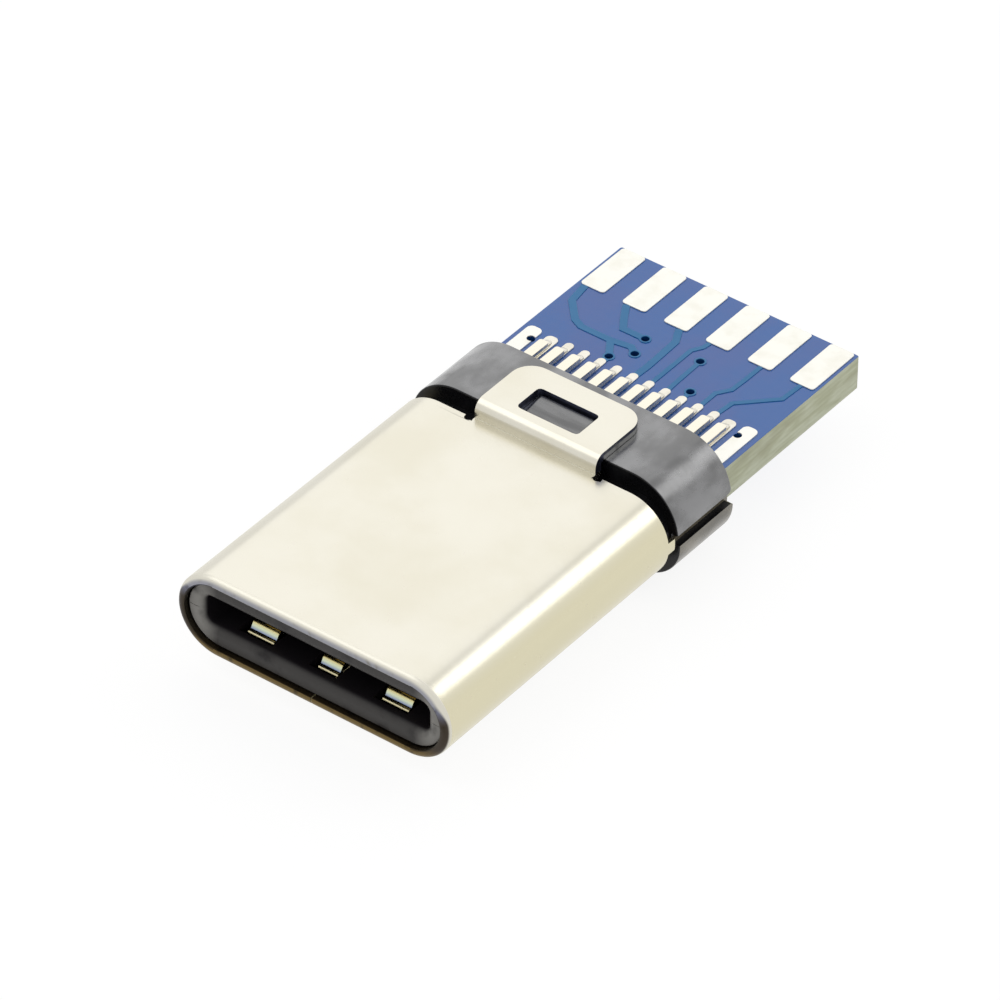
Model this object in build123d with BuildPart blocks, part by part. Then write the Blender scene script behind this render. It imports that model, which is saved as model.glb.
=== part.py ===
"""USB-C plug on a paddle board: rolled shell, nose housing, springs, latch, contact wafers and board.

Millimetres. The origin is the centre of the mouth. +X runs across the plug, +Y runs from the
mouth to the wire end, and +Z is up. The lower pieces are the upper ones turned over about Y.
"""

from build123d import *
import os

os.makedirs("parts", exist_ok=True)

# Shell: one sheet rolled to a stadium section, butted along the middle of the underside
shell_width = 8.25
shell_height = 2.40
shell_length = 8.85
shell_wall = 0.25
rim_round = 0.17
rim_inner_round = 0.04
seam_gap = 0.03
lug_height = 0.34
lug_length = 0.26

# Catch tabs: the two tongues of the shell that step up over the collar
tab_width = 3.70
tab_length = 2.15
tab_corner = 0.60
tab_inner_bend = 0.075
tab_seat_gap = 0.01
riser_setback = 0.15
window_width = 1.86
window_length = 0.95
window_corner = 0.12
window_inset = 0.10
notch_width = 0.24
notch_depth = 0.16

# Nose housing: the black moulding that makes the mouth and the cavity for the tongue
fit_gap = 0.02
nose_recess = 0.15
nose_edge = 0.05
nose_side_wall = 0.475
nose_roof = 0.52
cavity_corner = 0.20
mouth_chamfer = 0.22
finger_slot_front = 0.40
finger_slot_length = 1.95
finger_slot_play = 0.12
contact_slot_play = 0.05
contact_slot_tip_play = 0.06
contact_slot_root_play = 0.12
contact_slot_step = 1.15
arm_slot_front = 1.75
arm_slot_play = 0.03

# Ground springs: one stamping above and one below the cavity, three fingers each
spring_thickness = 0.10
spring_side_inset = 1.055
spring_base_length = 1.10
outer_finger_inset = 0.35
outer_finger_width = 0.80
middle_finger_width = 0.60
finger_root = 0.45
finger_reach = 1.54
finger_curl = 0.20
finger_proud = 0.08
finger_bend = 0.25

# Contacts: stamped strips, twelve above and ten below
contact_row_inset = 0.63
contact_places = 12
contact_thickness = 0.15
beam_width = 0.22
body_width = 0.25
tail_width = 0.28
touch_proud = 0.11
long_touch = 3.15
short_touch = 3.55
touch_lead = 0.40
tip_lift = 0.17
beam_root = 0.30
touch_bend = 0.35
root_bend = 0.80
tail_length = 3.27
tail_corner = 0.08

# Wafers: the mouldings that hold the contacts and end in the two halves of the collar
collar_rise = 0.24
collar_groove = 0.40
collar_length = 2.25
upper_collar_inset = 0.025
upper_collar_flat = 0.02
lower_collar_swell = 0.035
lower_collar_flat = 0.38
collar_seam = 0.28
collar_seam_depth = 0.20
collar_seam_round = 0.16
collar_edge = 0.04
wafer_core_length = 2.95
board_wall = 0.45
pocket_play = 0.05
pocket_headroom = 0.16
ramp_play = 0.07
ramp_toe = 0.02
ramp_height = 0.11
ramp_flat = 0.14
peg_radius = 0.30
peg_offset = 1.75
peg_depth = 0.28
peg_play = 0.02

# Latch: the flat stamping between the wafers, with two side arms and two solder legs
latch_thickness = 0.25
latch_side_inset = 0.055
latch_front_setback = 0.40
latch_rear_setback = 0.45
arm_width = 0.32
arm_inset = 0.02
arm_tip = 2.00
hook_reach = 0.34
hook_length = 0.60
hook_slope = 0.22
leg_width = 0.40
leg_riser = 0.20
leg_foot = 1.60
leg_bend = 0.20
leg_play = 0.03

# Board: the paddle board with its pads, vias and copper tracks
board_side_inset = 0.425
board_length = 7.72
board_thickness = 1.00
board_corner = 0.06
board_seat_gap = 0.05
pad_thickness = 0.04
wire_pads = 6
wire_pad_side_margin = 0.09
wire_pad_width = 0.74
wire_pad_length = 1.85
wire_pad_margin = 0.04
wire_pad_corner = 0.10
contact_pad_width = 0.25
contact_pad_corner = 0.12
contact_pad_rim = 0.46
end_pad_width = 0.36
end_pad_rim = 0.41
end_pad_corner = 0.15
shield_pad_width = 0.43
shield_pad_margin = 0.155
shield_pad_length = 3.40
shield_pad_corner = 0.16
via_radius = 0.11
via_pad_margin = 0.05
shield_via_inset = 0.14
shield_via_setback = 0.46
track_thickness = 0.02
power_track = 0.20
signal_track = 0.13

# Places across and up the plug, each from the piece that it fits in
inner_width = shell_width - 2 * shell_wall
inner_height = shell_height - 2 * shell_wall
core_width = inner_width - 2 * fit_gap
core_height = inner_height - 2 * fit_gap
cavity_width = core_width - 2 * nose_side_wall
cavity_height = core_height - 2 * nose_roof
half_cavity = cavity_height / 2
collar_height = shell_height + 2 * collar_rise
board_width = shell_width - 2 * board_side_inset
board_top = board_thickness / 2
pad_top = board_top + pad_thickness
strip_middle = pad_top + contact_thickness / 2
strip_top = pad_top + contact_thickness
pocket_height = strip_top + pocket_headroom
touch_half_gap = half_cavity - touch_proud
latch_width = core_width - 2 * latch_side_inset
arm_outer = latch_width / 2 - arm_inset
spring_width = core_width - 2 * spring_side_inset
spring_seat = core_height / 2 - spring_thickness
finger_offset = spring_width / 2 - outer_finger_inset - outer_finger_width / 2
contact_row = cavity_width - 2 * contact_row_inset
contact_xs = [contact_row * (place / (contact_places - 1) - 1 / 2) for place in range(contact_places)]
middle_places = {contact_places // 2 - 1, contact_places // 2}
lower_contact_xs = [x for place, x in enumerate(contact_xs) if place not in middle_places]
end_contact_xs = [contact_xs[0], contact_xs[-1]]
power_places = {0, 3, contact_places - 4, contact_places - 1}
wire_pad_row = board_width - 2 * wire_pad_side_margin - wire_pad_width
wire_pad_xs = [wire_pad_row * (place / (wire_pads - 1) - 1 / 2) for place in range(wire_pads)]
shield_pad_x = board_width / 2 - shield_pad_margin - shield_pad_width / 2
turned_over = (0, 180, 0)

# Places along the plug, each from the piece that it follows
nose_rear = shell_length - wafer_core_length
spring_front = nose_recess + finger_slot_front + finger_slot_length
collar_front = shell_length + collar_groove
collar_rear = collar_front + collar_length
board_wall_rear = collar_front + board_wall
board_front = board_wall_rear + board_seat_gap
board_rear = board_front + board_length
tail_rear = board_wall_rear + tail_length
contact_pad_front = board_front + board_seat_gap
contact_pad_rear = tail_rear + contact_pad_rim
wire_pad_front = board_rear - wire_pad_margin - wire_pad_length
latch_front = nose_rear + latch_front_setback
latch_rear = shell_length - latch_rear_setback
peg_y = (latch_front + latch_rear) / 2


def section(y):
    """Give the cross-section plane at y, seen from the mouth, so that an extrusion runs forward."""
    return Plane.XZ.offset(-y)


def save(part, name):
    """Label a finished piece and write its STEP file."""
    part.label = name
    export_step(part, f"parts/{name}.step")


# Shell
tab_middle = collar_height / 2 + tab_seat_gap + shell_wall / 2
wall_middle = shell_height / 2 - shell_wall / 2
riser_y = shell_length + riser_setback
tab_rear = shell_length + tab_length
tab_bend = shell_wall / 2 + tab_inner_bend
window_front = collar_front + window_inset

with BuildPart() as catch_tab:
    # The same sheet as the shell, stepped up over the collar
    with BuildSketch(Plane.YZ):
        with BuildLine():
            FilletPolyline(
                (shell_length - shell_wall, wall_middle),
                (riser_y, wall_middle),
                (riser_y, tab_middle),
                (tab_rear, tab_middle),
                radius=tab_bend,
            )
        trace(line_width=shell_wall)
    extrude(amount=tab_width / 2, both=True)
    # Cut to its outline from above: rounded rear corners, and the window
    with BuildSketch(Plane.XY.offset(wall_middle - shell_wall)):
        with Locations((0, tab_rear)):
            RectangleRounded(tab_width, 4 * tab_length, tab_corner, align=(Align.CENTER, Align.MAX))
        with Locations((0, window_front + window_length / 2)):
            RectangleRounded(window_width, window_length, window_corner, mode=Mode.SUBTRACT)
    extrude(amount=shell_height, mode=Mode.INTERSECT)

with BuildPart() as shell:
    with BuildSketch(section(shell_length)):
        SlotOverall(shell_width, shell_height)
        SlotOverall(inner_width, inner_height, mode=Mode.SUBTRACT)
    extrude(amount=shell_length)
    mouth_rim = shell.faces().sort_by(Axis.Y)[0]
    fillet(mouth_rim.outer_wire().edges(), rim_round)
    mouth_rim = shell.faces().filter_by(GeomType.PLANE).sort_by(Axis.Y)[0]
    fillet(mouth_rim.inner_wires()[0].edges(), rim_inner_round)
    # Key lugs at mid-height of both sides, between the halves of the collar
    with BuildSketch(section(shell_length + lug_length)):
        SlotOverall(shell_width, shell_height)
        SlotOverall(inner_width, inner_height, mode=Mode.SUBTRACT)
        Rectangle(shell_width, lug_height, mode=Mode.INTERSECT)
    extrude(amount=lug_length)
    add(catch_tab.part)
    # Relief notches beside the root of the tab
    with BuildSketch(Plane.XY.offset(wall_middle)):
        with Locations(*[(side * (tab_width + notch_width) / 2, shell_length) for side in (-1, 1)]):
            SlotOverall(2 * notch_depth, notch_width, rotation=90)
    extrude(amount=shell_wall, both=True, mode=Mode.SUBTRACT)
    mirror(about=Plane.XY)
    # Butt seam along the underside, through the lower tab too
    with BuildSketch(Plane.XY.offset(-collar_height)):
        with Locations((0, tab_rear / 2)):
            Rectangle(seam_gap, 2 * tab_rear)
    extrude(amount=collar_height - inner_height / 4, mode=Mode.SUBTRACT)

# Nose housing
groove_width = beam_width + 2 * contact_slot_play
groove_front = spring_front + finger_slot_play
groove_low = touch_half_gap + tip_lift + contact_thickness + contact_slot_tip_play
groove_high = strip_top + contact_slot_root_play
arm_slot_height = latch_thickness + 2 * arm_slot_play

with BuildPart() as front_housing:
    with BuildSketch(section(nose_rear)):
        SlotOverall(core_width, core_height)
    extrude(amount=nose_rear - nose_recess)
    fillet(front_housing.faces().sort_by(Axis.Y)[0].outer_wire().edges(), nose_edge)
    with BuildSketch(section(nose_rear)):
        RectangleRounded(cavity_width, cavity_height, cavity_corner)
    extrude(amount=nose_rear - nose_recess, mode=Mode.SUBTRACT)
    mouth_face = front_housing.faces().filter_by(GeomType.PLANE).sort_by(Axis.Y)[0]
    chamfer(mouth_face.inner_wires()[0].edges(), mouth_chamfer)
    # Grooves that the contact beams flex into
    for side, places in ((1, contact_xs), (-1, lower_contact_xs)):
        with BuildSketch(*[Plane.YZ.offset(x - groove_width / 2) for x in places]):
            with BuildLine():
                Polyline(
                    (groove_front, 0),
                    (groove_front, side * groove_low),
                    (groove_front + contact_slot_step, side * groove_low),
                    (nose_rear, side * groove_high),
                    (nose_rear, 0),
                    close=True,
                )
            make_face()
        extrude(amount=groove_width, mode=Mode.SUBTRACT)
    # Side slots for the latch arms, open to the cavity and to the shell
    with BuildSketch(Plane.XY):
        with Locations(*[(side * (cavity_width + core_width) / 4, nose_rear) for side in (-1, 1)]):
            Rectangle(
                (core_width - cavity_width) / 2 + cavity_corner,
                nose_rear - arm_slot_front,
                align=(Align.CENTER, Align.MAX),
            )
    extrude(amount=arm_slot_height / 2, both=True, mode=Mode.SUBTRACT)
    # Seats for the ground springs, and the windows that their fingers reach through
    spring_seat_rear = spring_front + finger_root + spring_base_length + fit_gap
    for seat in (Plane.XY.offset(spring_seat), Plane.XY.offset(-spring_seat - spring_thickness)):
        with BuildSketch(seat):
            with Locations((0, nose_recess + finger_slot_front)):
                Rectangle(
                    spring_width + 2 * fit_gap,
                    spring_seat_rear - nose_recess - finger_slot_front,
                    align=(Align.CENTER, Align.MIN),
                )
        extrude(amount=spring_thickness, mode=Mode.SUBTRACT)
    with BuildSketch(Plane.XY):
        for finger, width in ((-1, outer_finger_width), (0, middle_finger_width), (1, outer_finger_width)):
            with Locations((finger * finger_offset, nose_recess + finger_slot_front)):
                Rectangle(
                    width + 2 * finger_slot_play,
                    finger_slot_length + finger_slot_play,
                    align=(Align.CENTER, Align.MIN),
                )
    extrude(amount=core_height / 2, both=True, mode=Mode.SUBTRACT)

# Ground springs
spring_middle = spring_seat + spring_thickness / 2
finger_low_y = spring_front - finger_reach
finger_end_y = finger_low_y - finger_curl

with BuildPart() as upper_ground_spring:
    with BuildSketch(Plane.XY.offset(spring_seat)):
        with Locations((0, spring_front + finger_root)):
            Rectangle(spring_width, spring_base_length, align=(Align.CENTER, Align.MIN))
    extrude(amount=spring_thickness)
    for finger, width in ((-1, outer_finger_width), (0, middle_finger_width), (1, outer_finger_width)):
        with BuildSketch(Plane.YZ.offset(finger * finger_offset)):
            with BuildLine():
                FilletPolyline(
                    (spring_front + finger_root + spring_thickness, spring_middle),
                    (spring_front, spring_middle),
                    (finger_low_y, half_cavity - finger_proud),
                    (finger_end_y, spring_middle - spring_thickness / 2),
                    radius=finger_bend,
                )
            trace(line_width=spring_thickness)
        extrude(amount=width / 2, both=True)

with BuildPart() as lower_ground_spring:
    add(upper_ground_spring.part, rotation=turned_over)


# Contacts
def make_contact(touch_y):
    """Make one upper contact at x = 0: a sprung beam, a straight body and a flat solder tail."""
    touch_middle = touch_half_gap + contact_thickness / 2
    with BuildPart() as contact:
        with BuildSketch(Plane.YZ):
            with BuildLine():
                FilletPolyline(
                    (tail_rear, strip_middle),
                    (nose_rear - beam_root, strip_middle),
                    (touch_y, touch_middle - contact_thickness / 10),
                    (touch_y - touch_lead, touch_middle + tip_lift),
                    radius=[root_bend, touch_bend],
                )
            trace(line_width=contact_thickness)
        extrude(amount=tail_width / 2, both=True)
        with BuildSketch(Plane.XY):
            with Locations((0, 0)):
                Rectangle(beam_width, nose_rear, align=(Align.CENTER, Align.MIN))
            with Locations((0, nose_rear)):
                Rectangle(body_width, board_wall_rear - nose_rear, align=(Align.CENTER, Align.MIN))
            with Locations((0, board_wall_rear)):
                Rectangle(tail_width, tail_length, align=(Align.CENTER, Align.MIN))
        extrude(amount=shell_height, mode=Mode.INTERSECT)
        fillet(contact.edges().filter_by(Axis.Z).group_by(Axis.Y)[-1], tail_corner)
    return contact.part


signal_contact = make_contact(short_touch)
power_contact = make_contact(long_touch)
upper_contacts = {}
lower_contacts = {}
for place, x in enumerate(contact_xs):
    piece = power_contact if place in power_places else signal_contact
    upper_contacts[f"upper_contact_{place + 1:02d}"] = piece.moved(Location((x, 0, 0)))
    if x in lower_contact_xs:
        flipped = piece.rotate(Axis.Y, 180)
        lower_contacts[f"lower_contact_{place + 1:02d}"] = flipped.moved(Location((x, 0, 0)))

# Latch
arm_middle = arm_outer - arm_width / 2
hook_tip_x = arm_outer - arm_width - hook_reach
foot_middle = pad_top + latch_thickness / 2
leg_riser_y = collar_front + leg_riser

with BuildPart() as latch_plate:
    with BuildSketch(Plane.XY):
        with Locations((0, latch_front)):
            Rectangle(latch_width, latch_rear - latch_front, align=(Align.CENTER, Align.MIN))
        for side in (-1, 1):
            with Locations((side * arm_middle, arm_tip)):
                Rectangle(arm_width, latch_front - arm_tip, align=(Align.CENTER, Align.MIN))
            with BuildLine():
                Polyline(
                    (side * (arm_outer - arm_width), arm_tip),
                    (side * (arm_outer - arm_width), arm_tip + hook_length),
                    (side * hook_tip_x, arm_tip + hook_length - hook_slope / 2),
                    (side * hook_tip_x, arm_tip + hook_slope),
                    close=True,
                )
            make_face()
        with Locations(*[(side * peg_offset, peg_y) for side in (-1, 1)]):
            Circle(peg_radius + peg_play, mode=Mode.SUBTRACT)
    extrude(amount=latch_thickness / 2, both=True)
    # Solder legs: the left one steps up to the board's top, the right one down to its underside
    for side in (-1, 1):
        with BuildSketch(Plane.YZ.offset(side * shield_pad_x)):
            with BuildLine():
                FilletPolyline(
                    (latch_rear - latch_thickness, 0),
                    (leg_riser_y, 0),
                    (leg_riser_y, -side * foot_middle),
                    (leg_riser_y + leg_foot, -side * foot_middle),
                    radius=leg_bend,
                )
            trace(line_width=latch_thickness)
        extrude(amount=leg_width / 2, both=True)


# Wafers
def make_wafer(collar_width, collar_flat, places):
    """Make a wafer in the upper place, with the slots of its contacts and its half of the collar."""
    half_latch = latch_thickness / 2
    seat_rear = latch_rear + leg_play
    wafer_length = collar_front - nose_rear
    with BuildPart() as wafer:
        # Collar half: an outer skin that stops at the side seam, on an inner part that meets its twin
        with BuildSketch(section(collar_rear)):
            RectangleRounded(collar_width, collar_height, (collar_height - collar_flat) / 2)
        extrude(amount=collar_length)
        with BuildSketch(Plane.YZ):
            with Locations((collar_front, collar_seam / 2)):
                Rectangle(collar_length, collar_height, align=(Align.MIN, Align.MIN))
        extrude(amount=collar_width, both=True, mode=Mode.INTERSECT)
        seam_ends = wafer.edges().filter_by(Axis.X).group_by(Axis.Y)[-1].group_by(Axis.Z)[0]
        fillet(seam_ends, collar_seam_round)
        with BuildSketch(section(collar_rear)):
            with Locations((0, 0)):
                Rectangle(
                    collar_width - 2 * collar_seam_depth,
                    collar_height / 4,
                    align=(Align.CENTER, Align.MIN),
                )
        extrude(amount=collar_length)
        top_edges = wafer.faces().filter_by(Axis.Y).sort_by(Axis.Y)[-1].edges().filter_by(Axis.X)
        chamfer(top_edges.group_by(Axis.Z)[-1], collar_edge)
        # Core: the part inside the shell and in the groove behind it
        with BuildSketch(section(collar_front)):
            SlotOverall(core_width, core_height)
            Rectangle(core_width, core_height / 2, align=(Align.CENTER, Align.MIN), mode=Mode.INTERSECT)
        extrude(amount=wafer_length)
        # Seat of the latch plate
        with BuildSketch(Plane.XY):
            with Locations((0, nose_rear)):
                Rectangle(core_width, seat_rear - nose_rear, align=(Align.CENTER, Align.MIN))
        extrude(amount=half_latch, mode=Mode.SUBTRACT)
        # Pocket for the board and the tails on it
        with BuildSketch(Plane.XY):
            with Locations((0, board_wall_rear)):
                Rectangle(board_width + 2 * pocket_play, collar_length, align=(Align.CENTER, Align.MIN))
        extrude(amount=pocket_height, mode=Mode.SUBTRACT)
        # Channels for the legs: shallow on both sides, and tall where this wafer's leg steps up
        with BuildSketch(Plane.XY):
            with Locations(*[(side * shield_pad_x, seat_rear) for side in (-1, 1)]):
                Rectangle(
                    leg_width + 2 * leg_play,
                    board_wall_rear - seat_rear,
                    align=(Align.CENTER, Align.MIN),
                )
        extrude(amount=half_latch + leg_play, mode=Mode.SUBTRACT)
        with BuildSketch(Plane.XY):
            with Locations((-shield_pad_x, leg_riser_y - latch_thickness / 2 - leg_play)):
                Rectangle(leg_width + 2 * leg_play, collar_length, align=(Align.CENTER, Align.MIN))
        extrude(amount=pocket_height, mode=Mode.SUBTRACT)
        # Slots that the contact bodies are moulded into
        with BuildSketch(section(board_wall_rear)):
            with Locations(*[(x, strip_middle) for x in places]):
                Rectangle(body_width, contact_thickness)
        extrude(amount=board_wall_rear - nose_rear, mode=Mode.SUBTRACT)
        # Peg down through the latch plate, and the socket for the other wafer's peg
        with BuildSketch(Plane.XY.offset(-half_latch - peg_depth)):
            with Locations((peg_offset, peg_y)):
                Circle(peg_radius)
        extrude(amount=latch_thickness + peg_depth)
        with BuildSketch(Plane.XY):
            with Locations((-peg_offset, peg_y)):
                Circle(peg_radius + peg_play)
        extrude(amount=half_latch + peg_depth + peg_play, mode=Mode.SUBTRACT)
        # Snap ramp in the window of the tab
        ramp_front = window_front + ramp_play
        ramp_rear = window_front + window_length - ramp_play
        collar_top = collar_height / 2
        with BuildSketch(Plane.YZ):
            with BuildLine():
                Polyline(
                    (ramp_front, collar_top - ramp_height),
                    (ramp_front, collar_top + ramp_toe),
                    (ramp_rear - ramp_flat, collar_top + ramp_height),
                    (ramp_rear, collar_top + ramp_height),
                    (ramp_rear, collar_top - ramp_height),
                    close=True,
                )
            make_face()
        extrude(amount=window_width / 2 - ramp_play, both=True)
    return wafer.part


with BuildPart() as upper_wafer:
    add(make_wafer(shell_width - 2 * upper_collar_inset, upper_collar_flat, contact_xs))

with BuildPart() as lower_wafer:
    lower_slots = [-x for x in lower_contact_xs]
    turned_wafer = make_wafer(shell_width + 2 * lower_collar_swell, lower_collar_flat, lower_slots)
    add(turned_wafer, rotation=turned_over)

# Board: each via is set back from the contact pads, and off to the side of the contact that it serves
via_places = {
    "power_left": (contact_xs[3] + 0.02, contact_pad_rear + 0.17),
    "inner_left": (contact_xs[4] - 0.03, contact_pad_rear + 0.65),
    "pad_left": (contact_xs[4] - 0.18, contact_pad_rear + 1.30),
    "signal_right": (contact_xs[7] - 0.05, contact_pad_rear + 1.40),
    "power_right": (contact_xs[8] - 0.02, contact_pad_rear + 0.25),
}
shield_via_y = contact_pad_rear - shield_via_setback
shield_vias = [(side * (shield_pad_x - shield_via_inset), shield_via_y) for side in (-1, 1)]

with BuildPart() as circuit_board:
    with BuildSketch(Plane.XY):
        with Locations((0, (board_front + board_rear) / 2)):
            RectangleRounded(board_width, board_length, board_corner)
        with Locations(*via_places.values(), *shield_vias):
            Circle(via_radius, mode=Mode.SUBTRACT)
    extrude(amount=board_top, both=True)

# Pads on the top, and their twins on the underside
with BuildPart() as upper_wire_pads:
    with BuildSketch(Plane.XY.offset(board_top)):
        with Locations(*[(x, wire_pad_front + wire_pad_length / 2) for x in wire_pad_xs]):
            RectangleRounded(wire_pad_width, wire_pad_length, wire_pad_corner)
    extrude(amount=pad_thickness)

with BuildPart() as lower_wire_pads:
    add(upper_wire_pads.part, rotation=turned_over)


def contact_pad_outline(places):
    """Give the outline of the pads under the tails, with wider ones at the two ends."""
    length = contact_pad_rear - contact_pad_front
    end_length = tail_rear + end_pad_rim - contact_pad_front
    with BuildSketch() as outline:
        for x in places:
            at_end = x in end_contact_xs
            width = end_pad_width if at_end else contact_pad_width
            corner = end_pad_corner if at_end else contact_pad_corner
            with Locations((x, contact_pad_front)):
                pad = Rectangle(width, end_length if at_end else length, align=(Align.CENTER, Align.MIN))
            fillet(pad.vertices().group_by(Axis.Y)[-1], corner)
    return outline.sketch


with BuildPart() as upper_contact_pads:
    with BuildSketch(Plane.XY.offset(board_top)):
        add(contact_pad_outline(contact_xs))
    extrude(amount=pad_thickness)

with BuildPart() as lower_contact_pads:
    with BuildSketch(Plane.XY.offset(-pad_top)):
        add(contact_pad_outline(lower_contact_xs))
    extrude(amount=pad_thickness)

with BuildPart() as upper_shield_pads:
    with BuildSketch(Plane.XY.offset(board_top)):
        shield_pad_middle = contact_pad_rear - shield_pad_length / 2
        with Locations(*[(side * shield_pad_x, shield_pad_middle) for side in (-1, 1)]):
            RectangleRounded(shield_pad_width, shield_pad_length, shield_pad_corner)
        with Locations(*shield_vias):
            Circle(via_radius, mode=Mode.SUBTRACT)
    extrude(amount=pad_thickness)

with BuildPart() as lower_shield_pads:
    add(upper_shield_pads.part, rotation=turned_over)

# Copper tracks under the mask, each a route of points ending at the pads and vias that it joins
track_end = contact_pad_rear - contact_pad_width
lane_near = contact_pad_rear + 0.45
lane_middle = contact_pad_rear + 0.73
lane_far = contact_pad_rear + 1.40
upper_tracks = [
    (power_track, [(wire_pad_xs[0] - 0.20, wire_pad_front), (wire_pad_xs[0] - 0.10, lane_far + 0.06),
                   (contact_xs[0] - 0.05, lane_middle + 0.14), (contact_xs[0] + 0.25, lane_middle),
                   (contact_xs[2] + 0.16, lane_middle), via_places["power_left"]]),
    (power_track, [(contact_xs[2] + 0.16, lane_middle), (contact_xs[3] + 0.23, lane_middle + 0.10),
                   via_places["inner_left"]]),
    (power_track, [(wire_pad_xs[1] - 0.20, wire_pad_front), (wire_pad_xs[1] + 0.10, lane_far + 0.23),
                   (contact_xs[2] + 0.13, lane_far - 0.10), via_places["pad_left"]]),
    (power_track, [(wire_pad_xs[2] + 0.15, wire_pad_front), (contact_xs[5] - 0.01, lane_far + 0.27),
                   (contact_xs[5] + 0.03, lane_near), (contact_xs[5], track_end)]),
    (power_track, [via_places["power_left"], (contact_xs[3], track_end)]),
    (signal_track, [(wire_pad_xs[3] - 0.20, wire_pad_front), (contact_xs[6] + 0.17, lane_far + 0.52),
                    (contact_xs[6], lane_far + 0.22), (contact_xs[6], track_end)]),
    (signal_track, [via_places["signal_right"], (contact_xs[7] - 0.03, lane_near),
                    (contact_xs[7], track_end)]),
    (signal_track, [via_places["power_right"], (contact_xs[8], track_end)]),
    (signal_track, [(wire_pad_xs[4] + 0.08, wire_pad_front), (wire_pad_xs[4] + 0.07, lane_far + 0.02),
                    (wire_pad_xs[4] + 0.05, lane_middle + 0.23), (contact_xs[9], lane_near + 0.14),
                    (contact_xs[9], track_end)]),
    (signal_track, [(wire_pad_xs[5], wire_pad_front), (wire_pad_xs[5] - 0.04, lane_far + 0.02),
                    (contact_xs[10] + 0.07, lane_near + 0.07), (contact_xs[10], track_end)]),
]
lower_tracks = [
    (power_track, [via_places["power_left"], (contact_xs[3], track_end)]),
    (power_track, [via_places["inner_left"], (contact_xs[4] + 0.01, lane_near), (contact_xs[4], track_end)]),
    (power_track, [via_places["pad_left"], (contact_xs[4] - 0.15, lane_far + 0.37),
                   (wire_pad_xs[2] - 0.10, wire_pad_front)]),
    (signal_track, [via_places["signal_right"], (wire_pad_xs[3], wire_pad_front)]),
    (signal_track, [via_places["power_right"], (contact_xs[8], track_end)]),
    (signal_track, [(wire_pad_xs[1], wire_pad_front), (wire_pad_xs[1], lane_middle),
                    (contact_xs[2], lane_near), (contact_xs[2], track_end)]),
    (signal_track, [(wire_pad_xs[4], wire_pad_front), (wire_pad_xs[4], lane_middle),
                    (contact_xs[9], lane_near), (contact_xs[9], track_end)]),
]


def make_tracks(low, routes, places):
    """Make the tracks and the ring round each via, cut back where pads and holes are."""
    with BuildPart() as tracks:
        with BuildSketch(Plane.XY.offset(low)):
            for width, route in routes:
                with BuildLine():
                    Polyline(*route)
                trace(line_width=width)
            with Locations(*via_places.values()):
                Circle(via_radius + via_pad_margin)
                Circle(via_radius, mode=Mode.SUBTRACT)
            with Locations(*[(x, wire_pad_front + wire_pad_length / 2) for x in wire_pad_xs]):
                Rectangle(wire_pad_width, wire_pad_length, mode=Mode.SUBTRACT)
            add(contact_pad_outline(places), mode=Mode.SUBTRACT)
        extrude(amount=track_thickness)
    return tracks.part


with BuildPart() as upper_copper_tracks:
    add(make_tracks(board_top, upper_tracks, contact_xs))

with BuildPart() as lower_copper_tracks:
    add(make_tracks(-board_top - track_thickness, lower_tracks, lower_contact_xs))

# Write every piece
pieces = {
    "shell": shell.part,
    "front_housing": front_housing.part,
    "upper_ground_spring": upper_ground_spring.part,
    "lower_ground_spring": lower_ground_spring.part,
    "latch_plate": latch_plate.part,
    "upper_wafer": upper_wafer.part,
    "lower_wafer": lower_wafer.part,
    "circuit_board": circuit_board.part,
    "upper_wire_pads": upper_wire_pads.part,
    "lower_wire_pads": lower_wire_pads.part,
    "upper_contact_pads": upper_contact_pads.part,
    "lower_contact_pads": lower_contact_pads.part,
    "upper_shield_pads": upper_shield_pads.part,
    "lower_shield_pads": lower_shield_pads.part,
    "upper_copper_tracks": upper_copper_tracks.part,
    "lower_copper_tracks": lower_copper_tracks.part,
    **upper_contacts,
    **lower_contacts,
}
for name, piece in pieces.items():
    save(piece, name)
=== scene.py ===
"""Looks of the plug: plated shell, black mouldings, gilt strips and a masked paddle board.

The frame is in metres, with +X across the plug, +Y from the mouth to the wire end and +Z up. Pieces
are worked on in millimetres and brought to metres at the end, because bevels of a few hundredths of
a millimetre need it.
"""

import logging
import math
from dataclasses import dataclass
from enum import Enum
from typing import Any, Callable, Sequence, Union

import bmesh
import bpy
from mathutils import Matrix, Vector


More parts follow.
